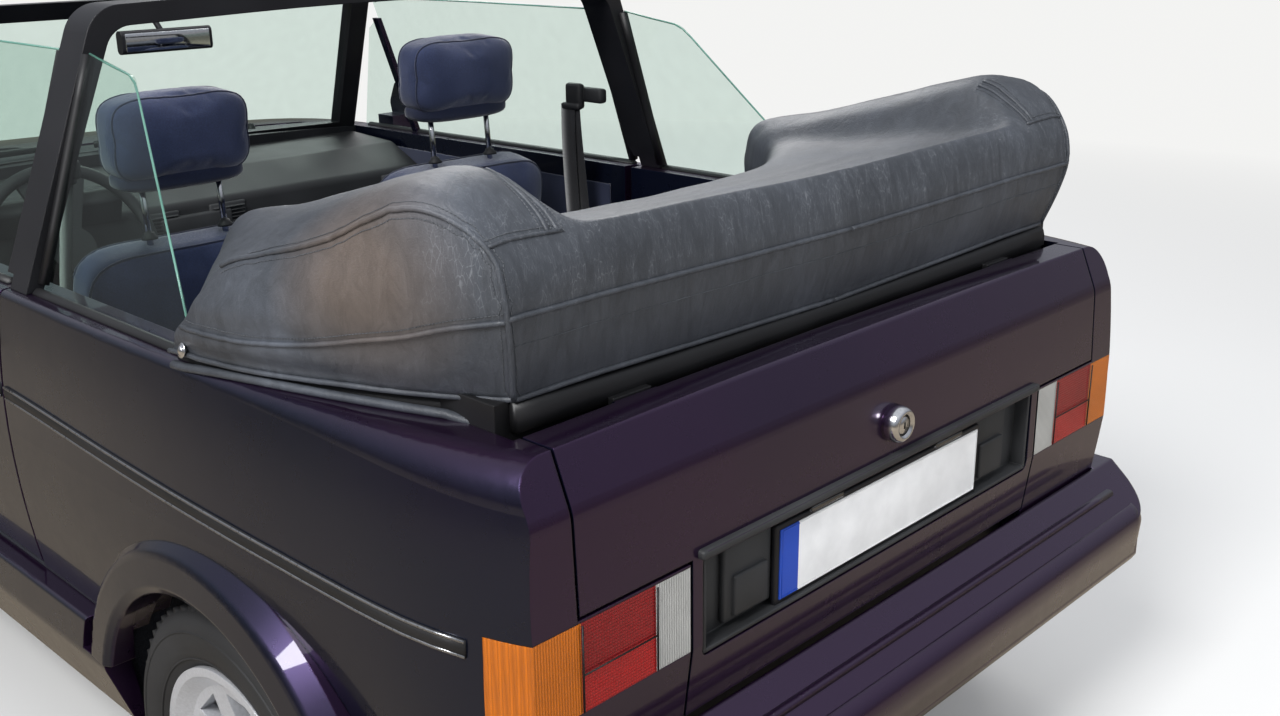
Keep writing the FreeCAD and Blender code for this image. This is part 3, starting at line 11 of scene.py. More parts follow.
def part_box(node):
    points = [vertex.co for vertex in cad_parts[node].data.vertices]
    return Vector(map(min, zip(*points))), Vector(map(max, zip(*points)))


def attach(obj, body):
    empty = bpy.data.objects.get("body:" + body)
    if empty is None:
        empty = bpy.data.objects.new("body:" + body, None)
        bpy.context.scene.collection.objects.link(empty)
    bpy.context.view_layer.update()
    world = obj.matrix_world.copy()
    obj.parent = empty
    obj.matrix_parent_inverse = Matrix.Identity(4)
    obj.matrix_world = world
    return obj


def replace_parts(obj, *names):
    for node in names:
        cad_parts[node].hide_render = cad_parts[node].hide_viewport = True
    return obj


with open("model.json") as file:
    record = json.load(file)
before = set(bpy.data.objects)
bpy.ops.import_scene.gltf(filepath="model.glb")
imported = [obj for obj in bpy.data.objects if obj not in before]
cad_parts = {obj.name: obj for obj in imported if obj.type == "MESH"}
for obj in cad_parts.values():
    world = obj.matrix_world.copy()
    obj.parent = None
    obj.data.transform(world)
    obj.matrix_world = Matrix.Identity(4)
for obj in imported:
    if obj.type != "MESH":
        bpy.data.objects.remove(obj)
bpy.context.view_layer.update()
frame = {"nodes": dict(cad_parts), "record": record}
NODES = frame["nodes"]
MM = 0.001
SIDES = ((1, "left"), (-1, "right"))
WHEELS = ("front_left", "front_right", "rear_left", "rear_right")
AHEAD, LEFT, UP = Vector((1, 0, 0)), Vector((0, 1, 0)), Vector((0, 0, 1))

# Colours as linear RGB
PAINT = (0.008, 0.012, 0.034)
# the lighter violet of the painted sheen on faces that don't face sideways
PAINT_SHEEN = (0.038, 0.015, 0.054)
VINYL = (0.050, 0.056, 0.067)
CLOTH = (0.014, 0.023, 0.066)
CLOTH_LIGHT = (0.046, 0.060, 0.130)
LENS_RED, LENS_UPPER_RED = (0.42, 0.010, 0.010), (0.27, 0.006, 0.008)
LENS_AMBER, LENS_CLEAR = (0.56, 0.135, 0.001), (0.46, 0.46, 0.44)

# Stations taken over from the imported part
SPIN = {joint["child"]: Vector(joint["pos_m"]) for joint in frame["record"]["behaviour"]["joints"]}
TYRE_LOW, TYRE_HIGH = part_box("tyre_rear_left")
TYRE_RADIUS = (TYRE_HIGH[2] - TYRE_LOW[2]) / 2
TAIL_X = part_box("boot_lid")[0][0]

# divisions of the tail lamps in millimetres: amber and clear across, the darker red above
AMBER_FROM, CLEAR_TO, DARK_FROM = 641, 513, 676
CLOTH_FRAMES = 20

MATERIALS = {}
# nodes that get another material than their slot's
NODE_LOOKS = {"roll_bar": "satin_black", "windscreen_frame": "satin_black", "firewall": "satin_black",
              "tail_panel": "satin_black", "hood_tray": "seal", "rear_bumper": "bumper_paint",
              "front_bumper": "bumper_paint"}


def mm(*values):
    """A point given in millimetres."""
    return Vector(values) * MM


def metres(points):
    """Points given in millimetres."""
    return [mm(*point) for point in points]


def spread(first, last, steps):
    """Numbers at an even pitch from the first to the last."""
    return [first + (last - first) * i / steps for i in range(steps + 1)]


def around(count, shift=0.0):
    """Angles at an even pitch round a full turn, shifted by a share of the pitch."""
    return [2 * math.pi * (k + shift) / count for k in range(count)]


def scaled(colour, factor):
    """A colour made lighter or darker, at most full."""
    return tuple(min(1.0, channel * factor) for channel in colour)


class Look:
    """A node tree under construction. Inputs take numbers, colours or other nodes' outputs."""

    def __init__(self, name=None, tree=None):
        if tree is None:
            MATERIALS[name] = bpy.data.materials.new(name)
            MATERIALS[name].use_nodes = True
            tree = MATERIALS[name].node_tree
        self.nodes, self.links = tree.nodes, tree.links
        self.shader = self.nodes.get("Principled BSDF")

    def feed(self, socket, source):
        """Connects an output to an input, or sets the input's own value."""
        if isinstance(source, bpy.types.NodeSocket):
            self.links.new(source, socket)
        elif isinstance(source, tuple) and len(socket.default_value) == 4:
            socket.default_value = (*source, 1.0)
        else:
            socket.default_value = source

    def make(self, kind, inputs=(), **settings):
        """A new node with its settings and inputs."""
        node = self.nodes.new("ShaderNode" + kind)
        for name, value in settings.items():
            setattr(node, name, value)
        for socket, source in dict(inputs).items():
            self.feed(node.inputs[socket], source)
        return node

    def set(self, **sources):
        """Feeds the Principled shader's inputs; an underscore stands for a space."""
        for name, source in sources.items():
            self.feed(self.shader.inputs[name.replace("_", " ")], source)

    def surface(self, first, second, share):
        """Mixes two shader nodes' first outputs as the material's surface."""
        mix = self.make("MixShader", {0: share, 1: first.outputs[0], 2: second.outputs[0]})
        self.feed(self.nodes["Material Output"].inputs["Surface"], mix.outputs["Shader"])

    def coords(self, kind="Object"):
        """Texture coordinates of one kind."""
        return self.make("TexCoord").outputs[kind]

    def axes(self, kind="Object"):
        """The three coordinates as separate outputs."""
        return tuple(self.make("SeparateXYZ", {"Vector": self.coords(kind)}).outputs)

    def texture(self, kind, scale, detail=3.0, coords=None, **sockets):
        """A texture node, on object coordinates if no others are given."""
        coords = self.coords() if coords is None else coords
        return self.make("Tex" + kind, {"Vector": coords, "Scale": scale, "Detail": detail, **sockets})

    def noise(self, *values, **sockets):
        """The output of a noise texture."""
        return self.texture("Noise", *values, **sockets).outputs["Fac"]

    def ramp(self, source, *stops):
        """The colour ramp through (position, colour) stops; a single number is a grey."""
        node = self.make("ValToRGB", {"Fac": source})
        elements = node.color_ramp.elements
        while len(elements) < len(stops):
            elements.new(0.5)
        for element, (position, colour) in zip(elements, stops):
            element.position = position
            element.color = (*(colour if isinstance(colour, tuple) else (colour,) * 3), 1.0)
        return node.outputs["Color"]

    def mix(self, first, second, factor, blend="MIX"):
        """A mix of two colours."""
        inputs = {"A": first, "B": second, "Factor": factor}
        return self.make("Mix", inputs, data_type="RGBA", blend_type=blend).outputs["Result"]

    def calc(self, operation, *operands):
        """Arithmetic on numbers and outputs."""
        return self.make("Math", enumerate(operands), operation=operation).outputs["Value"]

    def away(self, source, level, factor):
        """How far a number is from a level, times a factor."""
        return self.calc("MULTIPLY", self.calc("ABSOLUTE", self.calc("SUBTRACT", source, level)), factor)

    def bump(self, height, strength, distance, normal=None):
        """A normal raised by a height."""
        inputs = {"Height": height, "Strength": strength, "Distance": distance}
        if normal is not None:
            inputs["Normal"] = normal
        return self.make("Bump", inputs).outputs["Normal"]

    def bevel(self, radius):
        """A normal that rounds sharp edges by a small radius."""
        return self.make("Bevel", {"Radius": radius}, samples=6).outputs["Normal"]


def paint_material(name, edge):
    """Dark metallic paint: fine flake, a violet tint in random broad patches and as a painted sheen on faces
    not facing sideways, dust and a clear coat.
    """
    look = Look(name)
    # painted sheen: faces that don't face sideways (top, front and rear) lean to the lighter violet tone; the
    # noise adds random patches
    sideways = look.calc("ABSOLUTE", look.axes("Normal")[1])
    share = look.calc("ADD", look.calc("MULTIPLY_ADD", sideways, -0.42, 0.30), look.noise(1.1, 2.0))
    tone = look.ramp(share, (0.42, PAINT), (0.78, PAINT_SHEEN))
    fleck = look.ramp(look.noise(2200.0, 2.0), (0.35, 0.6), (0.7, 1.5))
    dust = look.ramp(look.noise(9.0, 6.0, Roughness=0.7), (0.3, 0.24), (0.75, 0.36))
    look.set(Base_Color=look.mix(tone, fleck, 0.3, "MULTIPLY"), Roughness=dust, Metallic=0.82,
             Coat_Weight=1.0, Coat_Roughness=0.025, Coat_IOR=1.4, Normal=look.bevel(edge))


def plastic_material(name, colour, roughness, grain, strength):
    """Moulded plastic with a fine grain."""
    look = Look(name)
    patch = look.noise(6.0, 2.0)
    look.set(Base_Color=look.ramp(patch, (0.3, scaled(colour, 0.75)), (0.7, scaled(colour, 1.3))),
             Roughness=look.ramp(patch, (0.3, roughness - 0.06), (0.7, roughness + 0.08)),
             Normal=look.bump(look.noise(grain, 4.0), strength, 0.001, look.bevel(0.003)))


def metal_material(name, colour, roughness, metallic):
    """Bare, plated or silver-painted metal."""
    look = Look(name)
    fine = look.noise(220.0, 4.0)
    look.set(Base_Color=look.ramp(fine, (0.3, scaled(colour, 0.85)), (0.7, colour)), Metallic=metallic,
             Roughness=look.ramp(fine, (0.3, roughness), (0.75, roughness + 0.12)), Normal=look.bevel(0.002))


def glass_material(name, tint, haze):
    """Thin window glass: clear with a tint, a soft mirror image and a little dust."""
    look = Look(name)
    look.nodes.remove(look.shader)
    dust = look.ramp(look.noise(30.0, 4.0), (0.3, tint), (0.8, scaled(tint, 0.98)))
    slant = look.make("LayerWeight", {"Blend": 0.35}).outputs["Facing"]
    look.surface(look.make("BsdfTransparent", {"Color": dust}), look.make("BsdfGlossy", {"Roughness": 0.02}),
                 look.ramp(slant, (0.0, haze), (0.6, haze + 0.06), (1.0, 0.6)))


def cloth_material(name, colour, light):
    """Woven cloth: crossing threads, a slight sheen, and paler where the sun has bleached it."""
    look = Look(name)
    threads = []
    for direction in "YZ":
        wave = look.texture("Wave", 300.0, 0.0, Distortion=0.6)
        wave.bands_direction = direction
        threads.append(wave.outputs["Fac"])
    tone = look.ramp(look.noise(7.0, 5.0), (0.35, colour), (0.8, light))
    speck = look.ramp(look.noise(480.0, 2.0), (0.3, 0.6), (0.7, 1.5))
    look.set(Base_Color=look.mix(tone, speck, 0.6, "MULTIPLY"), Roughness=0.88, Sheen_Weight=0.5,
             Sheen_Roughness=0.4, Normal=look.bump(look.calc("ADD", *threads), 0.35, 0.0008))


def vinyl_material():
    """Grained vinyl: fine creases, whitened wear on the rear edge and a browned patch on the left side."""
    look = Look("cover_vinyl")
    coords = look.coords()
    x, _, z = look.axes()
    wide = look.make("Mapping", {"Vector": coords, "Scale": (1.0, 1.6, 0.4)}).outputs["Vector"]
    grain = look.texture("Voronoi", 430.0, 0.0).outputs["Distance"]
    crease = look.noise(34.0, 8.0, wide, Roughness=0.74, Distortion=0.8)
    vein = look.texture("Voronoi", 150.0, 0.0, wide)
    vein.feature = "DISTANCE_TO_EDGE"
    patch = look.noise(3.4, 4.0)
    tone = look.ramp(patch, (0.36, scaled(VINYL, 0.8)), (0.55, VINYL), (0.75, (0.078, 0.088, 0.108)))
    # the browned patch on the left hump's side, a soft ball in space
    spot = look.make("VectorMath", {0: coords, 1: mm(-1590, 735, 1128)}, operation="DISTANCE")
    near = look.ramp(look.calc("MULTIPLY", spot.outputs["Value"], 5.2), (0.25, 0.85), (0.85, 0.0))
    browned = look.mix(tone, (0.115, 0.088, 0.072), near)
    # white wear along the rear top edge
    edge = look.calc("MAXIMUM", look.away(x, -1.725, 14.0), look.away(z, 1.165, 12.0))
    wear = look.ramp(edge, (0.2, 1.0), (1.0, 0.12))
    line = look.ramp(vein.outputs["Distance"], (0.0, 1.0), (0.055, 0.0))
    fray = look.ramp(crease, (0.46, 0.0), (0.62, 0.75))
    white = look.calc("MULTIPLY", look.calc("MULTIPLY", wear, line), fray)
    worn = look.mix(browned, (0.21, 0.22, 0.235), white)
    shade = look.ramp(crease, (0.38, 0.78), (0.6, 1.12))
    look.set(Base_Color=look.mix(worn, shade, 0.8, "MULTIPLY"), Specular_IOR_Level=0.55,
             Roughness=look.ramp(patch, (0.3, 0.40), (0.7, 0.54)),
             Normal=look.bump(grain, 0.22, 0.001, look.bump(crease, 0.4, 0.004)))


def lens_material():
    """Tail lamp lens: amber outside, red in the middle and clear inside, with moulded prisms and painted shade
    in their grooves.
    """
    look = Look("lamp_lens")
    x, y, z = look.axes()
    across = look.calc("ABSOLUTE", y)
    is_amber = look.calc("GREATER_THAN", across, AMBER_FROM * MM)
    is_clear = look.calc("LESS_THAN", across, CLEAR_TO * MM)
    red = look.mix(LENS_RED, LENS_UPPER_RED, look.calc("GREATER_THAN", z, DARK_FROM * MM))
    colour = look.mix(look.mix(red, LENS_AMBER, is_amber), LENS_CLEAR, is_clear)
    # upright ribs on amber and clear, a field of small prisms on red
    across_rib, along_rib, up_rib = (look.calc("PINGPONG", axis, 0.0022) for axis in (across, x, z))
    prism = look.calc("MINIMUM", across_rib, up_rib)
    rib = look.calc("MINIMUM", across_rib, look.calc("ADD", along_rib, 0.0004))
    ribbed = look.calc("MAXIMUM", is_amber, is_clear)
    height = look.calc("ADD", look.calc("MULTIPLY", prism, look.calc("SUBTRACT", 1.0, ribbed)),
                       look.calc("MULTIPLY", rib, ribbed))
    # painted shade in the prisms' and ribs' grooves, with a slight painted highlight on their tops
    prism_shade = look.ramp(look.calc("MULTIPLY", height, 454.0), (0.0, 0.55), (1.0, 1.1))
    inner = look.ramp(look.noise(14.0, 2.0), (0.3, 0.8), (0.7, 1.1))
    deep = look.mix(colour, prism_shade, 0.75, "MULTIPLY")
    look.set(Base_Color=look.mix(deep, inner, 0.6, "MULTIPLY"), Roughness=0.3, Specular_IOR_Level=0.35,
             Coat_Weight=0.5, Coat_Roughness=0.05, Normal=look.bump(height, 0.6, 1.0, look.bevel(0.003)))


def underbody_material():
    """Underbody coating below, carpet above the floor."""
    look = Look("underbody")
    above = look.calc("GREATER_THAN", look.axes()[2], 0.2335)
    pile = look.noise(420.0, 4.0)
    coat = look.ramp(look.noise(8.0, 4.0), (0.3, 0.014), (0.7, 0.030))
    carpet = look.ramp(pile, (0.3, (0.008, 0.009, 0.014)), (0.7, (0.030, 0.033, 0.045)))
    look.set(Base_Color=look.mix(coat, carpet, above), Roughness=0.9, Normal=look.bump(pile, 0.5, 0.002))


def plate_material():
    """A white reflective plate with a plain blue band at its left end."""
    look = Look("plate")
    band = look.calc("GREATER_THAN", look.axes()[1], 0.217)
    white = look.ramp(look.noise(25.0, 5.0), (0.3, 0.72), (0.7, 0.82))
    look.set(Base_Color=look.mix(white, (0.010, 0.060, 0.42), band), Roughness=0.32)


def make_materials():
    """All materials, from one row each."""
    # columns: name, radius of its rounded edges
    for row in (("paint", 0.004), ("bumper_paint", 0.008)):
        paint_material(*row)
    # columns: name, colour, roughness, grain's scale, grain's strength
    for row in (("black_plastic", (0.012, 0.0125, 0.014), 0.6, 900.0, 0.12),
                ("tyre_rubber", (0.020, 0.020, 0.021), 0.7, 300.0, 0.2),
                ("seal", (0.008, 0.008, 0.009), 0.5, 500.0, 0.06),
                ("satin_black", (0.008, 0.008, 0.010), 0.42, 700.0, 0.05),
                ("grey_plastic", (0.026, 0.027, 0.029), 0.6, 800.0, 0.2),
                ("thread", (0.11, 0.118, 0.13), 0.8, 900.0, 0.2),
                # a light green painted highlight for the panes' edges
                ("glass_edge", (0.12, 0.27, 0.22), 0.2, 400.0, 0.02),
                ("amber", (0.90, 0.30, 0.02), 0.2, 400.0, 0.1)):
        plastic_material(*row)
    # columns: name, colour, roughness, metallic share
    for row in (("alloy", (0.60, 0.61, 0.64), 0.28, 0.45), ("steel", (0.30, 0.30, 0.31), 0.4, 1.0),
                ("engine_iron", (0.10, 0.10, 0.10), 0.6, 1.0), ("reflector", (0.80, 0.81, 0.83), 0.2, 0.35),
                ("chrome", (0.85, 0.85, 0.86), 0.08, 1.0), ("fine_chrome", (0.42, 0.43, 0.45), 0.25, 1.0),
                ("mirror", (0.9, 0.92, 0.93), 0.01, 1.0)):
        metal_material(*row)
    # columns: name, tint, mirror share seen straight on
    for row in (("window_glass", (0.89, 0.955, 0.925), 0.035), ("lamp_glass", (0.9, 0.92, 0.92), 0.18)):
        glass_material(*row)
    # columns: name, colour, bleached colour
    for row in (("seat_cloth", CLOTH, CLOTH_LIGHT),
                ("lower_cloth", (0.008, 0.012, 0.034), (0.018, 0.025, 0.060)),
                ("webbing", (0.012, 0.012, 0.014), (0.028, 0.028, 0.032))):
        cloth_material(*row)
    vinyl_material()
    lens_material()
    underbody_material()
    plate_material()


def dress_nodes():
    """Gives every CAD node its material."""
    slots = {row["node"]: row["material_slot"] for row in frame["record"]["subparts"]}
    for name, node in NODES.items():
        material = MATERIALS[NODE_LOOKS.get(name, slots[name])]
        if not node.material_slots:
            node.data.materials.append(material)
        for entry in node.material_slots:
            entry.material = material


def add(name, bm, material, body="body", smooth=True):
    """Makes a piece of a bmesh, with its faces turned outwards, and lets it ride on a body."""
    bmesh.ops.recalc_face_normals(bm, faces=bm.faces)
    mesh = bpy.data.meshes.new(name)
    bm.to_mesh(mesh)
    bm.free()
    mesh.materials.append(MATERIALS[material])
    if smooth:
        mesh.shade_smooth()
    piece = bpy.data.objects.new(name, mesh)
    bpy.context.collection.objects.link(piece)
    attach(piece, body)
    return piece


def blended(points, share):
    """The Catmull-Rom curve through the points, at a place counted in intervals."""
    count = len(points)
    index = min(int(share), count - 2)
    t = share - index
    a, b, c, d = (points[min(max(index + k, 0), count - 1)] for k in (-1, 0, 1, 2))
    square, cube = a * 2 - b * 5 + c * 4 - d, b * 3 - a - c * 3 + d
    return (b * 2 + (c - a) * t + square * t ** 2 + cube * t ** 3) / 2


def curve_through(points, steps=8):
    """A smooth line through the points."""
    total = (len(points) - 1) * steps
    return [blended(points, i / steps) for i in range(total + 1)]


def evenly(points, pitch):
    """Points at an even pitch along a line."""
    lengths = [0.0]
    for a, b in zip(points, points[1:]):
        lengths.append(lengths[-1] + (b - a).length)
    count = max(1, round(lengths[-1] / pitch))
    result, segment = [], 0
    for i in range(count + 1):
        target = lengths[-1] * i / count
        while segment < len(points) - 2 and lengths[segment + 1] < target:
            segment += 1
        run = lengths[segment + 1] - lengths[segment]
        share = (target - lengths[segment]) / run if run else 0.0
        result.append(points[segment].lerp(points[segment + 1], share))
    return result


def sweep(bm, path, profile, up=UP, closed=False):
    """Sweeps a closed profile of (side, up) offsets along a path and caps its ends."""
    rings, count = [], len(path)
    for i, point in enumerate(path):
        back = path[i - 1] if closed or i else point
        ahead = path[(i + 1) % count] if closed or i < count - 1 else point
        along = (ahead - back).normalized()
        side = along.cross(up).normalized()
        over = side.cross(along)
        rings.append([bm.verts.new(point + side * s + over * u) for s, u in profile])
    pairs = list(zip(rings, rings[1:])) + ([(rings[-1], rings[0])] if closed else [])
    for first, second in pairs:
        for k in range(len(profile)):
            n = (k + 1) % len(profile)
            bm.faces.new((first[k], first[n], second[n], second[k]))
    if not closed:
        bm.faces.new(rings[0])
        bm.faces.new(rings[-1][::-1])


def circle(radius, sides=10, squash=1.0):
    """A round profile for a sweep."""
    return [(radius * math.cos(a), radius * squash * math.sin(a)) for a in around(sides)]


def slab(bm, centre, size, radius=0.0, turn=None, segments=2):
    """A box with rounded edges, added to a bmesh."""
    rotation = turn.to_4x4() if turn else Matrix()
    made = bmesh.ops.create_cube(
        bm, size=1.0, matrix=Matrix.Translation(centre) @ rotation @ Matrix.Diagonal((*size, 1.0)))
    if radius:
        edges = list({e for v in made["verts"] for e in v.link_edges})
        bmesh.ops.bevel(bm, geom=edges, offset=radius, segments=segments, affect="EDGES", profile=0.5)


def add_blocks(name, material, rows, body="body", segments=2):
    """A piece of rounded boxes, from rows of centre, size and edge radius in millimetres."""
    bm = bmesh.new()
    for x, y, z, along, across, high, radius in rows:
        slab(bm, mm(x, y, z), mm(along, across, high), radius * MM, segments=segments)
    return add(name, bm, material, body)


def add_swept(name, path, profile, material, body="body", up=UP):
    """A piece swept along one path."""
    bm = bmesh.new()
    sweep(bm, path, profile, up)
    return add(name, bm, material, body)


def lathe(bm, profile, centre, axis, steps=48):
    """Turns a profile of (radius, along) about an axis through a centre."""
    axis = axis.normalized()
    side = axis.orthogonal().normalized()
    over = axis.cross(side)
    rings = []
    for radius, along in profile:
        if radius < 1e-6:
            rings.append([bm.verts.new(centre + axis * along)])
            continue
        rings.append([bm.verts.new(centre + axis * along + (side * math.cos(a) + over * math.sin(a)) * radius)
                      for a in around(steps)])
    for first, second in zip(rings, rings[1:]):
        for k in range(steps):
            n = (k + 1) % steps
            corners = [ring[i % len(ring)] for ring, i in ((first, k), (first, n), (second, n), (second, k))]
            unique = list(dict.fromkeys(corners))
            if len(unique) > 2:
                bm.faces.new(unique)


def surface_of(*sources):
    """A search tree over CAD nodes or pieces, for laying pieces on them."""
    verts, faces = [], []
    for source in sources:
        mesh = (NODES[source] if isinstance(source, str) else source).data
        base = len(verts)
        verts += [v.co.copy() for v in mesh.vertices]
        faces += [[base + i for i in p.vertices] for p in mesh.polygons]
    return BVHTree.FromPolygons(verts, faces)


def top_at(tree, x, y, default):
    """The height of the surface seen from above, or the default."""
    place = tree.ray_cast(Vector((x, y, 1.2)), -UP)[0]
    return default if place is None else place.z


# The cover's outline in millimetres. Each rail runs from its front foot over the top to the rear hem; the
# last one is the piped seam round the left hump and down the rear corner.
RAILS = [
    [(-1300, 0, 990), (-1298, 0, 1040), (-1345, 0, 1076), (-1445, 0, 1096), (-1577, 0, 1121), (-1700, 0, 1150),
     (-1745, 0, 1171), (-1766, 0, 1089), (-1742, 0, 978)],
    [(-1290, 330, 990), (-1288, 330, 1045), (-1335, 330, 1084), (-1445, 330, 1106), (-1577, 330, 1131),
     (-1700, 330, 1156), (-1745, 330, 1173), (-1766, 330, 1093), (-1742, 330, 985)],
    [(-1225, 490, 990), (-1215, 490, 1045), (-1250, 490, 1090), (-1400, 490, 1112), (-1560, 490, 1140),
     (-1695, 490, 1163), (-1745, 490, 1176), (-1766, 490, 1095), (-1742, 490, 988)],
    [(-1140, 545, 986), (-1132, 545, 1045), (-1172, 545, 1106), (-1320, 545, 1148), (-1480, 545, 1188),
     (-1635, 548, 1226), (-1744, 548, 1178), (-1766, 545, 1095), (-1742, 540, 988)],
    [(-1092, 600, 982), (-1085, 600, 1045), (-1124, 600, 1116), (-1285, 600, 1154), (-1455, 600, 1202),
     (-1645, 600, 1246), (-1744, 600, 1180), (-1767, 597, 1096), (-1742, 585, 989)],
    [(-1140, 690, 972), (-1150, 684, 1030), (-1196, 676, 1092), (-1320, 672, 1146), (-1460, 668, 1190),
     (-1645, 654, 1240), (-1745, 634, 1181), (-1767, 628, 1097), (-1742, 610, 989)],
    [(-1165, 735, 967), (-1200, 728, 1024), (-1240, 716, 1084), (-1360, 708, 1136), (-1490, 700, 1178),
     (-1655, 680, 1232), (-1746, 650, 1179), (-1768, 642, 1097), (-1742, 620, 989)],
    [(-1192, 773, 963), (-1247, 768, 1030), (-1308, 746, 1098), (-1400, 738, 1126), (-1520, 727, 1160),
     (-1660, 700, 1216), (-1745, 664, 1177), (-1768, 656, 1097), (-1742, 630, 989)],
]
HEM = [(-1192, 773, 963), (-1221, 771, 966), (-1270, 768, 967), (-1360, 751, 968), (-1445, 728, 971),
       (-1520, 706, 974), (-1590, 680, 976), (-1665, 654, 981), (-1742, 630, 989)]
SIDE_SEAM = [(-1236, 768, 1003), (-1300, 762, 1008), (-1370, 752, 1014), (-1470, 738, 1026), (-1556, 724, 1042),
             (-1630, 705, 1056), (-1700, 688, 1076), (-1766, 656, 1094)]
BAND = [(-1640, 562, 1242), (-1668, 561, 1236), (-1695, 560, 1217), (-1722, 560, 1196), (-1745, 562, 1177)]
# the hem goes on along the rear: across, height
HEM_REAR = [(490, 988.5), (330, 985), (160, 981), (0, 978)]
# steps between the points of a rail, and between two rails
RAIL_STEPS, ACROSS_STEPS = 10, 6
# the rails' points where the piped arc starts and ends and where the rear seam crosses them
ARC_START, ARC_END, REAR_SEAM = 2, 6, 7
# profiles in metres: the studs' head and ring (radius, height), the rear band's section (outward, up)
STUD_HEAD = [(0.0, 0.0045), (0.003, 0.0042), (0.0062, 0.0028), (0.0078, 0.0), (0.0078, -0.004), (0.0, -0.004)]
STUD_RING = [(0.0, -0.001), (0.0112, -0.001), (0.0112, 0.0006), (0.0088, 0.0014), (0.0, 0.0014)]
SEAL_SECTION = [(0.004, 0.002), (-0.003, 0.000), (-0.008, -0.007), (-0.0105, -0.017), (-0.011, -0.034),
                (0.004, -0.036)]


def rail_points(rail):
    """One rail as a smooth line in metres."""
    return curve_through(metres(rail), RAIL_STEPS)


def side_panel_point(top, bottom, front, rear, s, t):
    """A point of the side panel between its four edges, with a slight bulge."""
    across = len(top) - 1
    down = len(front) - 1
    i, j = round(s * across), round(t * down)
    hem = blended(bottom, s * (len(bottom) - 1))
    ruled = top[i].lerp(hem, t) + front[j].lerp(rear[j], s)
    corners = (top[0].lerp(top[-1], s)).lerp(front[-1].lerp(rear[-1], s), t)
    bulge = 0.016 * math.sin(math.pi * s) * math.sin(math.pi * t)
    return ruled - corners + Vector((0, bulge, 0))


def cover_half():
    """Vertices and faces of the cover's left half: the top patch and the side panel."""
    rails = [rail_points(rail) for rail in RAILS]
    along, across = len(rails[0]), (len(rails) - 1) * ACROSS_STEPS + 1
    verts, faces = [], []
    for i in range(across):
        share = i / ACROSS_STEPS
        for k in range(along):
            verts.append(blended([rail[k] for rail in rails], share))
    for i in range(across - 1):
        for k in range(along - 1):
            a = i * along + k
            faces.append((a, a + 1, a + along + 1, a + along))
    seam = rails[-1]
    top = seam[ARC_START * RAIL_STEPS:ARC_END * RAIL_STEPS + 1]
    front = seam[:ARC_START * RAIL_STEPS + 1][::-1]
    rear = seam[ARC_END * RAIL_STEPS:]
    bottom = metres(HEM)
    base, wide, high = len(verts), len(top), len(front)
    for j in range(high):
        for i in range(wide):
            verts.append(side_panel_point(top, bottom, front, rear, i / (wide - 1), j / (high - 1)))
    for j in range(high - 1):
        for i in range(wide - 1):
            a = base + j * wide + i
            faces.append((a, a + wide, a + wide + 1, a + 1))
    return verts, faces


def fold_depth(point):
    """How far the cloth stands in or out at a point: soft pulls round the corners and loose folds in front."""
    x, y, z = point.x, abs(point.y), point.z
    broad, narrow = noise.noise(Vector((x * 9, y * 5, z * 14))), noise.noise(Vector((x * 22, y * 12, z * 30)))
    middle = max(0.0, 1 - y / 0.52)
    behind = min(1.0, max(0.0, (-1.34 - x) * 6))
    pulls = math.sin(x * 95 + noise.noise(point * 7) * 2.4) * 0.0012 * middle * behind
    side = max(0.0, min(1.0, (y - 0.66) * 14)) * max(0.0, min(1.0, (1.07 - z) * 16))
    folds = math.sin((z - 0.963) * 120 + x * 7) * 0.0030 * side
    return (broad * 0.5 + narrow * 0.25) * 0.0045 + pulls + folds


def cover_mesh():
    """The whole cover, closed underneath."""
    verts, faces = cover_half()
    bm = bmesh.new()
    for flip, _ in SIDES:
        made = [bm.verts.new((v.x, v.y * flip, v.z)) for v in verts]
        for face in faces:
            bm.faces.new([made[i] for i in (face if flip > 0 else face[::-1])])
    bmesh.ops.remove_doubles(bm, verts=bm.verts, dist=0.0002)
    bmesh.ops.dissolve_degenerate(bm, edges=bm.edges, dist=0.0001)
    rim = [e for e in bm.edges if e.is_boundary]
    bmesh.ops.triangle_fill(bm, edges=rim, use_beauty=True, use_dissolve=False)
    bmesh.ops.recalc_face_normals(bm, faces=bm.faces)
    bm.normal_update()
    held = {v for e in rim for v in e.verts}
    moves = {v: v.normal * fold_depth(v.co) for v in bm.verts if v not in held}
    for vert, move in moves.items():
        vert.co += move
    return bm


def laid_on(tree, points, lift):
    """Points moved on to a surface and lifted off it."""
    result = []
    for point in points:
        place, normal, _, _ = tree.find_nearest(point)
        result.append(place + normal * lift)
    return result


def stitches(bm, path, pitch=0.0052, length=0.0036, thick=0.0009):
    """A row of raised stitches along a line."""
    places = evenly(path, pitch)
    for a, b in zip(places, places[1:]):
        along = (b - a).normalized()
        turn = along.to_track_quat("X", "Z").to_matrix()
        slab(bm, a.lerp(b, 0.5), (length, thick * 1.4, thick), 0.0, turn)


def shifted(path, offset, tree):
    """A line moved sideways over a surface."""
    result = []
    for i, point in enumerate(path):
        along = (path[min(i + 1, len(path) - 1)] - path[max(i - 1, 0)]).normalized()
        _, normal, _, _ = tree.find_nearest(point)
        result.append(point + normal.cross(along) * offset)
    return result


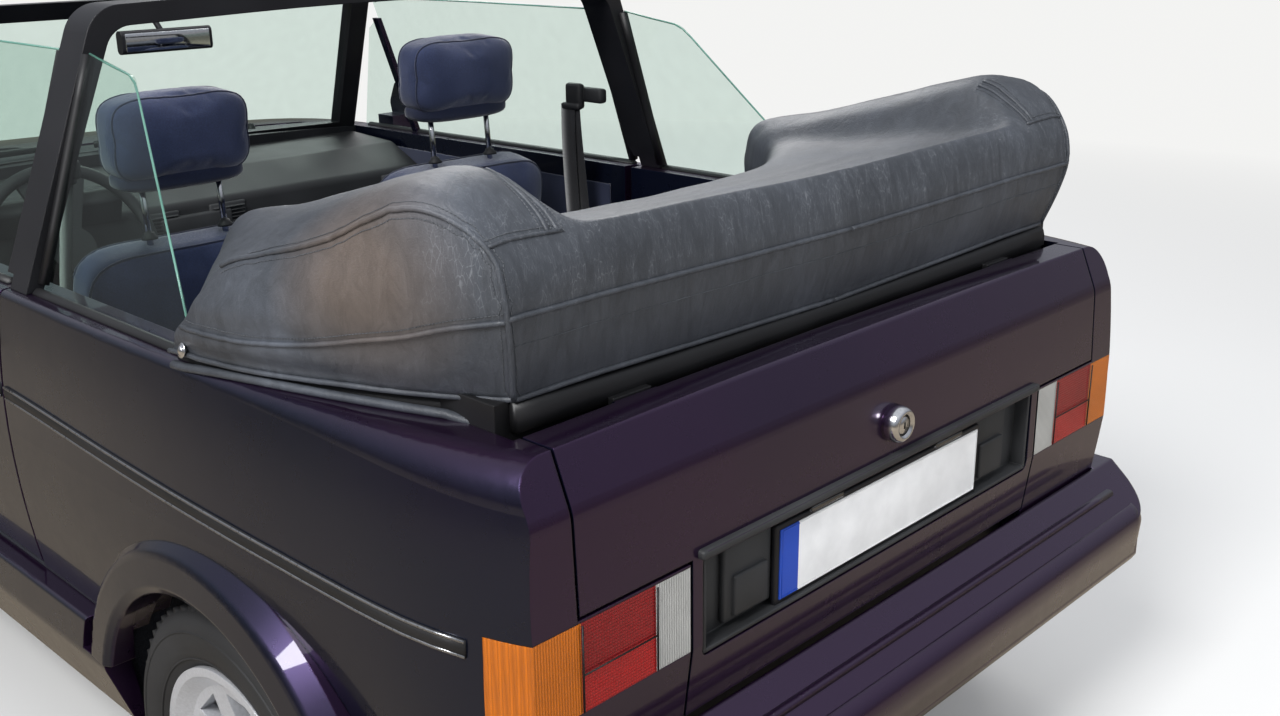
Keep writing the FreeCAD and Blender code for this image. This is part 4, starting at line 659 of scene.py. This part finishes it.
def cover():
    """The folded top's fitted cover with its piping, stitching and studs."""
    piece = add("cover", cover_mesh(), "cover_vinyl")
    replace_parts(piece, "top_cover")
    tree = surface_of(piece)
    hem = curve_through(metres(HEM)) + [mm(-1742, y, z) for y, z in HEM_REAR]
    lines = {
        "arc": rail_points(RAILS[-1])[ARC_START * RAIL_STEPS:],
        "side": curve_through(metres(SIDE_SEAM)),
        "rear": curve_through([rail_points(rail)[REAR_SEAM * RAIL_STEPS] for rail in reversed(RAILS)], 6),
        "band": curve_through(metres(BAND)),
        "cross": [rail_points(rail)[ARC_END * RAIL_STEPS] for rail in reversed(RAILS[3:])],
        "hem": hem}
    piping, threads, studs = bmesh.new(), bmesh.new(), bmesh.new()
    for flip, _ in SIDES:
        turned = {name: [Vector((p.x, p.y * flip, p.z)) for p in line] for name, line in lines.items()}
        # columns: line, radius of its piping
        for name, radius in (("arc", 0.0035), ("side", 0.0035), ("rear", 0.0038), ("cross", 0.0026),
                             ("hem", 0.0038)):
            sweep(piping, laid_on(tree, evenly(turned[name], 0.012), radius * 0.25), circle(radius, 8))
        for offset in (-0.0075, 0.0075):
            path = shifted(evenly(turned["band"], 0.008), offset, tree)
            sweep(piping, laid_on(tree, path, 0.0004), circle(0.0028, 8))
        # columns: line, the stitching's distance from it
        for name, offset in (("arc", 0.011), ("arc", -0.011), ("side", 0.010), ("rear", -0.036), ("band", 0.0),
                             ("band", 0.017), ("band", -0.017), ("cross", 0.008)):
            path = shifted(evenly(turned[name], 0.012), offset * flip, tree)
            stitches(threads, laid_on(tree, path, 0.0004))
        for profile in (STUD_HEAD, STUD_RING):
            lathe(studs, profile, mm(-1231, 776 * flip, 973), Vector((0.1, flip, 0.25)), 24)
    add("cover_piping", piping, "cover_vinyl")
    add("cover_stitching", threads, "thread", smooth=False)
    add("cover_studs", studs, "chrome")
    hem_rolls(hem)


def hem_rolls(hem):
    """A second vinyl roll on the panels beside the hem and the glossy black band behind it."""
    tree = surface_of("quarter_panels", "boot_lid")
    rolls, seal = bmesh.new(), bmesh.new()
    for flip, _ in SIDES:
        path = []
        for share in spread(0.0, 1.0, 21):
            x, y = -1.205 - 0.520 * share, flip * (0.776 - 0.142 * share ** 1.35)
            path.append(Vector((x, y, top_at(tree, x, y, 0.948) + 0.0045)))
        sweep(rolls, path, circle(0.0072, 12, 0.85))
    add("hem_roll", rolls, "cover_vinyl")
    sweep(seal, [mm(-1740, y, 984 - 8 * (1 - (y / 632) ** 2)) for y in range(-632, 633, 79)], SEAL_SECTION)
    for flip, _ in SIDES:
        path = [Vector((p.x, (p.y - 0.016) * flip, p.z - 0.020)) for p in hem if p.x > -1.7425 and p.y > 0.6]
        sweep(seal, evenly(path, 0.03), [(-0.006, -0.016), (0.006, -0.016), (0.006, 0.016), (-0.006, 0.016)])
    add("lid_seal", seal, "seal")


def pad(name, centre, size, turn, power, crown=0.0, channels=(), waist=0.0, material="seat_cloth"):
    """A closed crowned pad: a rounded block, pulled in between its corners, with sewn channels across it."""
    bm = bmesh.new()
    bmesh.ops.create_cube(bm, size=2.0)
    bmesh.ops.subdivide_edges(bm, edges=bm.edges, cuts=15, use_grid_fill=True)
    rotation = Matrix.Rotation(turn, 3, "Y")
    for vert in bm.verts:
        c = vert.co.copy()
        c /= (abs(c.x) ** power + abs(c.y) ** power + abs(c.z) ** power) ** (1 / power)
        pull = 1 - waist * (1 - c.z ** 2) * (1 - min(1.0, abs(c.y)) ** 4 * 0.3)
        deep = 1 + crown * (1 - c.y ** 2) * (1 - c.z ** 2)
        for at in channels:
            deep -= 0.16 * math.exp(-((c.z - at) / 0.05) ** 2)
        local = Vector((c.x * size[0] / 2 * deep, c.y * size[1] / 2 * pull, c.z * size[2] / 2))
        vert.co = centre + rotation @ local
    return add(name, bm, material)


def inflate(piece, voxel, cap, pressure):
    """Blows a pad up a little as cloth, with every point's move capped, and smooths it."""
    remesh = piece.modifiers.new("remesh", "REMESH")
    remesh.mode = "VOXEL"
    remesh.voxel_size = voxel
    graph = bpy.context.evaluated_depsgraph_get()
    start = bpy.data.meshes.new_from_object(piece.evaluated_get(graph))
    piece.modifiers.clear()
    start.materials.clear()
    for material in piece.data.materials:
        start.materials.append(material)
    piece.data = start
    before = [v.co.copy() for v in start.vertices]
    cloth = piece.modifiers.new("cloth", "CLOTH")
    cloth.settings.use_pressure = True
    cloth.settings.uniform_pressure_force = pressure
    cloth.settings.effector_weights.gravity = 0.0
    cloth.settings.quality = 4
    for step in range(1, CLOTH_FRAMES + 1):
        bpy.context.scene.frame_set(step)
    graph = bpy.context.evaluated_depsgraph_get()
    after = bpy.data.meshes.new_from_object(piece.evaluated_get(graph))
    for vert, origin in zip(after.vertices, before):
        move = vert.co - origin
        if move.length > cap:
            vert.co = origin + move.normalized() * cap
    piece.modifiers.clear()
    piece.data = after
    bpy.context.scene.frame_set(1)
    after.shade_smooth()


def girdle(piece, centre, turn, offsets, radius):
    """Piped seams round a pad, in planes across its thickness."""
    reach, rays = 0.7, 96
    tree = surface_of(piece)
    rotation = Matrix.Rotation(turn, 3, "Y")
    bm = bmesh.new()
    for offset in offsets:
        ring = []
        for angle in around(rays):
            ray = rotation @ Vector((0, math.cos(angle), math.sin(angle)))
            start = centre + rotation @ Vector((offset, 0, 0)) + ray * reach
            place, normal, _, _ = tree.ray_cast(start, -ray)
            if place is not None:
                ring.append(place + normal * radius * 0.3)
        sweep(bm, ring, circle(radius, 8), rotation @ AHEAD, True)
    return add(piece.name + "_piping", bm, "lower_cloth")


def front_seat(side, hand, backrest_top):
    """One front seat: cushion, backrest, headrest with its lower roll, posts and ferrules."""
    middle, rest_top, backrest_foot = side * 0.345, backrest_top + 0.264, 0.37
    lean, tip, nod = -math.atan2(0.12, backrest_top - 0.41), math.radians(83), -0.05
    back_at = Vector((-0.392, middle, (backrest_foot + backrest_top) / 2))
    seat_at = Vector((-0.115, middle, 0.365))
    rest_at = Vector((-0.444, middle, rest_top - 0.080))
    roll_at = Vector((-0.436, middle, rest_top - 0.158))
    back = pad(f"backrest_{hand}", back_at, (0.105, 0.475, backrest_top - backrest_foot), lean, 7.0, 0.16,
               (-0.35, 0.0, 0.35), 0.03)
    seat = pad(f"seat_cushion_{hand}", seat_at, (0.14, 0.475, 0.40), tip, 6.0, 0.18, (-0.3, 0.1, 0.45), 0.02)
    rest = pad(f"headrest_{hand}", rest_at, (0.100, 0.288, 0.160), nod, 4.6, 0.10, (), 0.02)
    roll = pad(f"headrest_roll_{hand}", roll_at, (0.092, 0.262, 0.046), nod, 3.4, material="lower_cloth")
    # columns: pad, voxel, cap, pressure
    for row in ((back, 0.010, 0.012, 4.0), (seat, 0.010, 0.012, 4.0), (rest, 0.006, 0.004, 2.5)):
        inflate(*row)
    girdle(rest, rest_at, nod, (0.028, -0.030), 0.0019)
    girdle(back, back_at, lean, (0.034, -0.034), 0.0026)
    girdle(seat, seat_at, tip, (-0.045,), 0.0026)
    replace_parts(back, "front_seats")
    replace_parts(rest, "headrests")
    posts, ferrules = bmesh.new(), bmesh.new()
    for offset in (-0.080, 0.080):
        foot = Vector((-0.452, middle + offset, backrest_top - 0.03))
        head = Vector((-0.440, middle + offset, rest_top - 0.15))
        sweep(posts, [foot, foot.lerp(head, 0.5), head], circle(0.0062, 12), AHEAD)
        lathe(ferrules, [(0.0, 0.0), (0.0155, 0.0), (0.0155, 0.004), (0.0105, 0.0085), (0.0095, 0.013),
                         (0.0, 0.014)], foot + Vector((0, 0, 0.022)), head - foot, 20)
    add(f"headrest_posts_{hand}", posts, "chrome")
    add(f"post_ferrules_{hand}", ferrules, "black_plastic")
    y = middle / MM
    add_blocks(f"seat_runners_{hand}", "satin_black", [
        (-155, y - 165, 262, 350, 28, 55, 4), (-155, y + 165, 262, 350, 28, 55, 4),
        (-140, y, 292, 380, 400, 20, 6)])


def rear_bench():
    """The rear seat: cushion and backrest."""
    base_at, back_at, tip, lean = mm(-865, 0, 375), mm(-1140, 0, 665), math.radians(86), -0.17
    base = pad("rear_cushion", base_at, (0.17, 1.06, 0.34), tip, 7.0, 0.12, (-0.3, 0.3), 0.01)
    back = pad("rear_backrest", back_at, (0.10, 1.06, 0.47), lean, 7.0, 0.14, (-0.4, 0.1), 0.01)
    add_blocks("rear_plinth", "black_plastic", [(-840, 0, 275, 260, 1020, 90, 10)])
    for piece in (base, back):
        inflate(piece, 0.016, 0.012, 4.0)
    girdle(back, back_at, lean, (0.036,), 0.0028)
    girdle(base, base_at, tip, (-0.055,), 0.0028)
    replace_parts(base, "rear_seat")


# the rub strip's middle along the car: distance forward, height
STRIP_LINE = [(-1.79, 0.7222), (-1.70, 0.7232), (-1.60, 0.7280), (-1.50, 0.7340), (-1.40, 0.7404),
              (-1.30, 0.7470), (-1.20, 0.7532), (-1.10, 0.7588), (-1.00, 0.7638), (-0.90, 0.7685),
              (-0.80, 0.7728), (-0.70, 0.7760), (-0.60, 0.7780), (-0.40, 0.7792), (0.00, 0.7795),
              (1.80, 0.7750)]
# the strip's section: outward, height
STRIP_SECTION = [(-0.003, -0.0122), (0.0025, -0.0116), (0.0042, 0.0), (0.0025, 0.0116), (-0.003, 0.0122)]


def strip_height(x):
    """Height of the rub strip's middle along the car."""
    for (x0, z0), (x1, z1) in zip(STRIP_LINE, STRIP_LINE[1:]):
        if x <= x1:
            return z0 + (z1 - z0) * (x - x0) / (x1 - x0)
    return STRIP_LINE[-1][1]


def rub_strips():
    """Dark rub strips between two bright lines, on wings, doors and quarters."""
    tree = surface_of("front_wings", "door_left", "door_right", "quarter_panels")
    for side, hand in SIDES:
        # columns: name, body, rear end, front end
        for part, body, x0, x1 in (("quarter", "body", -1.776, -0.646),
                                   ("door", f"door_{hand}", -0.626, 0.528), ("wing", "body", 0.552, 1.800)):
            path = [tree.ray_cast(Vector((x, side * 1.2, strip_height(x))), -side * LEFT)[0]
                    for x in spread(x0, x1, 24)]
            path = [place for place in path if place is not None]
            black, bright = bmesh.new(), bmesh.new()
            sweep(black, path, [(-side * out, height) for out, height in STRIP_SECTION])
            for offset in (-0.0098, 0.0098):
                line = [place + Vector((0, side * 0.0028, offset)) for place in path]
                sweep(bright, line, circle(0.0014, 8, 1.7))
            add(f"rub_strip_{part}_{hand}", black, "seal", body)
            add(f"rub_line_{part}_{hand}", bright, "fine_chrome", body)


def glass_y(z):
    """Distance of the side glass from the centreline at a height."""
    foot_y, foot_z, height, lean = 0.742, 0.948, 0.374, 0.130
    return foot_y - (z - foot_z) / height * lean


# the belt seals' section: outward, height
BELT_SECTION = [(-0.010, -0.001), (-0.010, 0.003), (-0.003, 0.009), (0.003, 0.009), (0.010, 0.003),
                (0.010, -0.001)]


def belt_seals():
    """Rubber seals where the side glass enters the body."""
    tree = surface_of("front_wings", "door_left", "door_right", "quarter_panels")
    for side, hand in SIDES:
        for name, rides, x0, x1 in (("quarter", "body", -1.200, -0.708),
                                    ("door", f"door_{hand}", -0.608, 0.478)):
            path = [Vector((x, side * 0.7475, top_at(tree, x, side * 0.7485, 0.95)))
                    for x in spread(x0, x1, 12)]
            add_swept(f"belt_seal_{name}_{hand}", path, BELT_SECTION, "seal", rides)


def glass_edges():
    """The ground edges of the frameless panes: thin tubes in the glass's green, made light as a painted
    highlight along the edges.
    """
    for side, hand in SIDES:
        # columns: pane, body, outline points along X and Z
        for pane, rides, outline in (
                ("quarter", "body", [(-1196, 953), (-1100, 1056), (-990, 1172), (-895, 1273), (-878, 1288),
                                     (-856, 1298), (-780, 1309), (-714, 1320)]),
                ("door", f"door_{hand}", [(-604, 1321), (-200, 1321), (190, 1318), (232, 1306)])):
            path = [Vector((x * MM, side * glass_y(z * MM), z * MM)) for x, z in outline]
            # a painted highlight along the pane's edge
            add_swept(f"glass_edge_{pane}_{hand}", path, circle(0.0019, 8), "glass_edge", rides, LEFT)


def bumper_edges():
    """The broad rounded edge between each bumper's upper and outer faces, carried round both its corners."""
    corner, narrowing = 0.070, 0.026
    bend, radius, centre = math.radians(51.15), 0.036, (-0.033, 0.4222)
    # columns: outward from the bumper's outer face, height
    section = [(-0.022, 0.452), (-0.0205, 0.457), (-0.0182, 0.4565)]
    for angle in spread(bend, 0.0, 10):
        section.append((centre[0] + radius * math.cos(angle), centre[1] + radius * math.sin(angle)))
    section += [(-0.0015, 0.366), (-0.005, 0.364), (-0.012, 0.372), (-0.012, 0.430)]
    # columns: bumper, way it faces, end of its flank
    for name, facing, flank_end in (("rear_bumper", -1, 1.663), ("front_bumper", 1, 1.568)):
        low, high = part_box(name)
        face, half = max(abs(low[0]), abs(high[0])), high[1]
        lean = math.atan(narrowing / (face - flank_end))
        turn_x = face - corner
        turn_y = half - narrowing + corner * math.tan(lean) - corner / math.cos(lean)
        path = [Vector((facing * flank_end, half, 0))]
        for angle in spread(math.pi / 2 - lean, 0.0, 10):
            path.append(Vector((facing * (turn_x + corner * math.cos(angle)),
                                turn_y + corner * math.sin(angle), 0)))
        path += [Vector((p.x, -p.y, 0)) for p in reversed(path)]
        add_swept(f"{name}_edge", path, [(-facing * out, height) for out, height in section], "bumper_paint")


def bumper_ridge():
    """The step along the rear bumper's upper face."""
    tree = surface_of("rear_bumper")
    path = [mm(-1893, y, 1) + UP * top_at(tree, -1.893, y * MM, 0.5) for y in range(-704, 705, 64)]
    profile = [(-0.007, -0.004), (-0.005, 0.003), (-0.001, 0.0045), (0.007, 0.0045), (0.011, -0.003)]
    add_swept("bumper_ridge", path, profile, "bumper_paint")


def tail_details():
    """Plate, its holder, recess lining, lock, lamp dividers and plate lamps on the boot lid and quarters."""
    face = -1858
    lining = [(face + 28.5, 0, 678, 4, 842, 140, 1.5)]
    lining += [(face + 16, 0, z, 30, 842, 6, 1.5) for z in (610.5, 745.5)]
    lining += [(face + 16, y, 678, 30, 6, 138, 1.5) for y in (-419, 419)]
    for y in (-315, 315):
        lining += [(face + 21, y, 678, 12, 100, 112, 4), (face + 14, y, 660, 12, 70, 60, 3)]
    add_blocks("recess_lining", "grey_plastic", lining, "boot_lid")
    add_blocks("recess_lip", "grey_plastic", [(face + 1.2, 0, 755.5, 22.5, 868, 13.5, 4.5)], "boot_lid",
               segments=3)
    add_blocks("plate_lamps", "lamp_glass", [(face + 10, y, 739, 26, 75, 10, 3) for y in (-160, 160)],
               "boot_lid")
    add_blocks("plate_holder", "satin_black", [(face + 12, 0, 671, 10, 532, 124, 3)], "boot_lid")
    plate = bmesh.new()
    slab(plate, mm(face + 6.2, 0, 673), mm(3, 516, 106), 0.001)
    rim = [mm(face + 4.8, y, z) for y, z in ((-254, 622.5), (254, 622.5), (254, 723.5), (-254, 723.5))]
    sweep(plate, rim, circle(0.0012, 6), AHEAD, True)
    add("number_plate", plate, "plate", "boot_lid")
    lock, dark = bmesh.new(), bmesh.new()
    centre = Vector((TAIL_X + 0.001, 0, 0.812))
    lathe(lock, [(0.0, 0.006), (0.0115, 0.006), (0.0135, 0.0035), (0.0165, 0.0035), (0.0185, 0.0085),
                 (0.0225, 0.0088), (0.0262, 0.004), (0.0278, -0.002), (0.0284, -0.0165), (0.0, -0.0165)],
          centre, -AHEAD, 40)
    lathe(dark, [(0.0138, 0.0046), (0.0164, 0.0046), (0.0164, 0.0030), (0.0138, 0.0030), (0.0138, 0.0046)],
          centre, -AHEAD, 40)
    slab(dark, centre - AHEAD * 0.0063, (0.001, 0.0022, 0.010))
    add("lid_lock", lock, "chrome", "boot_lid")
    add("lid_lock_shade", dark, "seal", "boot_lid")
    dividers = []
    for side, _ in SIDES:
        dividers += [(face - 3.5, side * y, 684, 1.6, 2.2, 116, 0) for y in (AMBER_FROM, CLEAR_TO)]
        dividers.append((face - 3.5, side * 577, DARK_FROM, 1.6, 126, 1.8, 0))
    add_blocks("lamp_dividers", "seal", dividers)


# the front belts' two runs below the guide, in millimetres along X, Y and Z on the left
BELT_RUNS = [
    [(-545, 606, 1098), (-541, 616, 1020), (-538, 634, 880), (-536, 660, 600), (-534, 668, 330)],
    [(-533, 602, 1098), (-522, 612, 1000), (-512, 632, 820), (-508, 658, 520), (-506, 668, 330)],
]


def bar_details():
    """Seals and trim on the roll bar, and the two front belts with their guides."""
    for side, hand in SIDES:
        trims, belt, guide = bmesh.new(), bmesh.new(), bmesh.new()
        for x in (-0.7045, -0.6155):
            path = [Vector((x, side * glass_y(z), z)) for z in (0.962, 1.05, 1.15, 1.25, 1.318)]
            sweep(trims, path, [(-0.006, -0.010), (0.006, -0.010), (0.008, 0.0), (0.006, 0.010),
                                (-0.006, 0.010), (-0.008, 0.0)], AHEAD)
        add(f"bar_seal_{hand}", trims, "seal")
        for run in BELT_RUNS:
            path = curve_through([mm(x, side * y, z) for x, y, z in run], 6)
            sweep(belt, path, [(-0.023, -0.0007), (0.023, -0.0007), (0.023, 0.0007), (-0.023, 0.0007)], LEFT)
        add(f"belt_{hand}", belt, "webbing")
        top = mm(-545, side * 606, 1098)
        slab(guide, top + mm(-2, side * 6, 22), (0.052, 0.020, 0.060), 0.008)
        slab(guide, top + mm(4, 0, -2), (0.060, 0.016, 0.016), 0.006)
        slab(guide, top + mm(-42, side * 20, 26), (0.085, 0.024, 0.034), 0.007)
        add(f"belt_guide_{hand}", guide, "black_plastic")


def wipers():
    """Two wipers parked on the windscreen's foot."""
    bm = bmesh.new()
    for pivot_y, tip_y in ((0.10, 0.62), (-0.44, 0.06)):
        pivot = Vector((0.628, pivot_y, 0.945))
        lathe(bm, [(0.0, 0.018), (0.010, 0.016), (0.012, 0.0), (0.012, -0.02), (0.0, -0.02)], pivot,
              Vector((0.2, 0, 1)), 20)
        heel = pivot + Vector((0, 0.02, 0.010))
        middle = Vector((0.575, (pivot_y + tip_y) / 2, 0.985))
        sweep(bm, [heel, heel.lerp(middle, 0.5) + Vector((0, 0, 0.008)), middle], circle(0.0045, 8))
        start, end = Vector((0.590, pivot_y + 0.07, 0.972)), Vector((0.550, tip_y, 0.972))
        sweep(bm, [start.lerp(end, share) for share in spread(0.0, 1.0, 8)],
              [(-0.003, -0.009), (0.003, -0.009), (0.005, 0.003), (0.0, 0.008), (-0.005, 0.003)])
    add("wipers", bm, "seal")


def dashboard_details():
    """Vents, glovebox, radio slot and knobs on the dashboard."""
    parts = [(176, -400, 742, 12, 420, 130, 8), (172, 0, 800, 20, 190, 70, 6)]
    knobs = bmesh.new()
    lathe(knobs, [(0.0, 0.006), (0.007, 0.006), (0.010, 0.003), (0.010, 0.0), (0.0, 0.0)], mm(168, -400, 780),
          -AHEAD, 24)
    for y in (-610, -90, 90, 610):
        parts += [(171, y, 838 - k * 9, 14, 85, 3, 1) for k in range(5)]
        parts.append((178, y, 820, 10, 100, 58, 4))
        slab(knobs, mm(169, y, 791), (0.006, 0.010, 0.004), 0.001)
    add_blocks("dash_parts", "grey_plastic", parts)
    add("dash_knobs", knobs, "chrome")


def tyre_treads():
    """Detailed tyres: grooved tread, shoulder blocks and sidewall rings."""
    half = (TYRE_HIGH[1] - TYRE_LOW[1]) / 2
    r, blocks, ring_points = TYRE_RADIUS, 64, 72
    profile = [(0.1835, -0.0728), (0.196, -0.0735), (0.205, -0.084), (0.222, -0.0905), (0.243, -half + 0.0002),
               (0.262, -0.0895), (0.274, -0.080), (r - 0.0045, -0.0715), (r - 0.0008, -0.060)]
    for groove in (-0.036, -0.012, 0.012, 0.036):
        profile += [(r, groove - 0.0045), (r - 0.0075, groove - 0.0032), (r - 0.0075, groove + 0.0032),
                    (r, groove + 0.0045)]
    profile += [(radius, -along) for radius, along in profile[8::-1]]
    profile += [(0.178, 0.068), (0.178, -0.068), profile[0]]
    for name in WHEELS:
        bm = bmesh.new()
        centre = SPIN[f"wheel_{name}"]
        lathe(bm, profile, centre, LEFT, 96)
        for side in (-1, 1):
            for angle in around(blocks, 0.25 * side):
                turn = Matrix.Rotation(angle, 3, "Y")
                slab(bm, centre + turn @ Vector((0, side * 0.0665, r - 0.0075)), (0.019, 0.013, 0.0110))
            # columns: radius of the sidewall ring, distance from the tyre's middle
            for radius, out in ((0.2085, 0.0862), (0.252, 0.0915)):
                ring = [centre + Vector((radius * math.cos(a), side * out, radius * math.sin(a)))
                        for a in around(ring_points)]
                sweep(bm, ring, circle(0.0014, 6), LEFT, True)
        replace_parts(add(f"tyre_tread_{name}", bm, "tyre_rubber", f"wheel_{name}"), f"tyre_{name}")


def wheel_details():
    """The four bolts and the centre cap of each wheel."""
    for name in WHEELS:
        out = LEFT if name.endswith("left") else -LEFT
        face = SPIN[f"wheel_{name}"] + out * 0.0555
        bolts, cap = bmesh.new(), bmesh.new()
        for angle in around(4, 0.5):
            lathe(bolts, [(0.0, 0.010), (0.006, 0.010), (0.0085, 0.007), (0.0085, -0.004), (0.0, -0.004)],
                  face + Vector((math.cos(angle), 0, math.sin(angle))) * 0.050, out, 6)
        lathe(cap, [(0.0, 0.016), (0.012, 0.0155), (0.024, 0.012), (0.029, 0.006), (0.030, -0.006),
                    (0.0, -0.006)], face, out, 40)
        add(f"wheel_bolts_{name}", bolts, "chrome", f"wheel_{name}")
        add(f"wheel_cap_{name}", cap, "alloy", f"wheel_{name}")


def mirrors_and_trims():
    """Mirror glass, inner door panels with armrests, and the outer handles' black grips."""
    for side, hand in SIDES:
        add_blocks(f"mirror_glass_{hand}", "mirror", [(371, side * 886.5, 1006, 3, 134, 88, 1)],
                   f"door_{hand}")
    add_blocks("room_mirror_glass", "mirror", [(207, 0, 1249, 3, 214, 42, 1)])
    for side, hand in SIDES:
        bm = bmesh.new()
        slab(bm, mm(-60, side * 702, 700), (1.02, 0.008, 0.40), 0.003)
        slab(bm, mm(-110, side * 686, 690), (0.44, 0.034, 0.055), 0.012, segments=3)
        slab(bm, mm(-60, side * 696, 540), (0.70, 0.012, 0.09), 0.005)
        add(f"door_panel_{hand}", bm, "lower_cloth", f"door_{hand}")
        add_blocks(f"door_handle_{hand}", "satin_black", [(-494, side * 814.5, 848, 150, 11, 24, 4)],
                   f"door_{hand}")


def front_lamps():
    """Indicators in the front bumper and the reflectors behind the round lenses."""
    add_blocks("front_indicators", "amber", [(1936, side * 560, 420, 12, 150, 50, 4) for side, _ in SIDES])
    dish = bmesh.new()
    for side, _ in SIDES:
        for y, radius in ((545, 0.079), (360, 0.056)):
            lathe(dish, [(radius, 0.0), (radius * 0.8, -0.012), (radius * 0.4, -0.020), (0.0, -0.022)],
                  mm(1795, side * y, 637), AHEAD, 40)
    add("lamp_reflectors", dish, "reflector")


def camera():
    """The photograph's viewpoint."""
    yaw, pitch, roll = math.radians(-46.1), math.radians(-18.3), math.radians(-0.5)
    ahead = Vector((math.cos(yaw) * math.cos(pitch), math.sin(yaw) * math.cos(pitch), math.sin(pitch)))
    level = ahead.cross(UP).normalized()
    over = level.cross(ahead)
    right = level * math.cos(roll) + over * math.sin(roll)
    up = over * math.cos(roll) - level * math.sin(roll)
    data = bpy.data.cameras.new("camera")
    data.sensor_width = 36.0
    data.lens = 37.82
    data.clip_end = 200.0
    view = bpy.data.objects.new("camera", data)
    view.matrix_world = Matrix.Translation((-2.8705, 1.5896, 1.5264)) @ Matrix(
        (right, up, -ahead)).transposed().to_4x4()
    bpy.context.collection.objects.link(view)
    bpy.context.scene.camera = view


def studio_floor():
    """A pale floor that turns into the backdrop's own white beyond a few metres, for the camera only."""
    mesh = bpy.data.meshes.new("floor")
    mesh.from_pydata([(-40, -40, 0), (40, -40, 0), (40, 40, 0), (-40, 40, 0)], [], [(0, 1, 2, 3)])
    floor = bpy.data.objects.new("floor", mesh)
    bpy.context.collection.objects.link(floor)
    look = Look("floor")
    ray = look.make("LightPath").outputs
    # mirrored in the paint the ground is a warm mid tone, as under the photographed car
    look.set(Base_Color=look.mix((0.74, 0.735, 0.72), (0.26, 0.215, 0.16), ray["Is Glossy Ray"]),
             Roughness=0.85)
    away = look.make("VectorMath", {0: look.coords()}, operation="LENGTH").outputs["Value"]
    far = look.ramp(look.calc("MULTIPLY", away, 0.1), (0.25, 0.0), (0.75, 1.0))
    look.surface(look.shader, look.make("Emission", {"Color": (0.90, 0.90, 0.89)}),
                 look.calc("MULTIPLY", far, ray["Is Camera Ray"]))
    mesh.materials.append(MATERIALS["floor"])


def studio_light():
    """A soft sky that is white for the camera, and three broad lamps."""
    world = bpy.data.worlds.new("studio")
    bpy.context.scene.world = world
    world.use_nodes = True
    look = Look(tree=world.node_tree)
    sky = look.ramp(look.axes("Generated")[2], (0.0, (0.30, 0.29, 0.28)), (0.25, (0.50, 0.53, 0.60)),
                    (0.8, (1.0, 1.04, 1.12)))
    seen = look.make("LightPath").outputs["Is Camera Ray"]
    back = look.nodes["Background"]
    look.feed(back.inputs["Color"], look.mix(sky, (1.5, 1.5, 1.48), seen))
    look.feed(back.inputs["Strength"], 0.6)
    # columns: name, place, size, power, aim
    for name, place, size, power, aim in (
            ("key", (-2.4, 4.6, 5.2), 2.4, 430.0, (-1.2, 0.0, 0.8)),
            ("fill", (-6.0, -2.0, 3.0), 3.5, 110.0, (-1.4, 0.0, 0.7)),
            ("rim", (3.5, -3.5, 4.5), 3.0, 180.0, (0.0, 0.0, 0.8))):
        light = bpy.data.lights.new(name, "AREA")
        light.energy = power
        light.size = size
        lamp = bpy.data.objects.new(name, light)
        lamp.location = place
        lamp.rotation_euler = (Vector(aim) - Vector(place)).to_track_quat("-Z", "Y").to_euler()
        lamp.visible_glossy = name != "fill"
        bpy.context.collection.objects.link(lamp)
    bpy.context.scene.view_settings.view_transform = "Standard"


make_materials()
dress_nodes()
camera()
studio_floor()
studio_light()
cover()
front_seat(1, "left", 0.950)
front_seat(-1, "right", 1.004)
rear_bench()
rub_strips()
belt_seals()
tail_details()
glass_edges()
bumper_edges()
bumper_ridge()
bar_details()
wipers()
dashboard_details()
tyre_treads()
wheel_details()
mirrors_and_trims()
front_lamps()
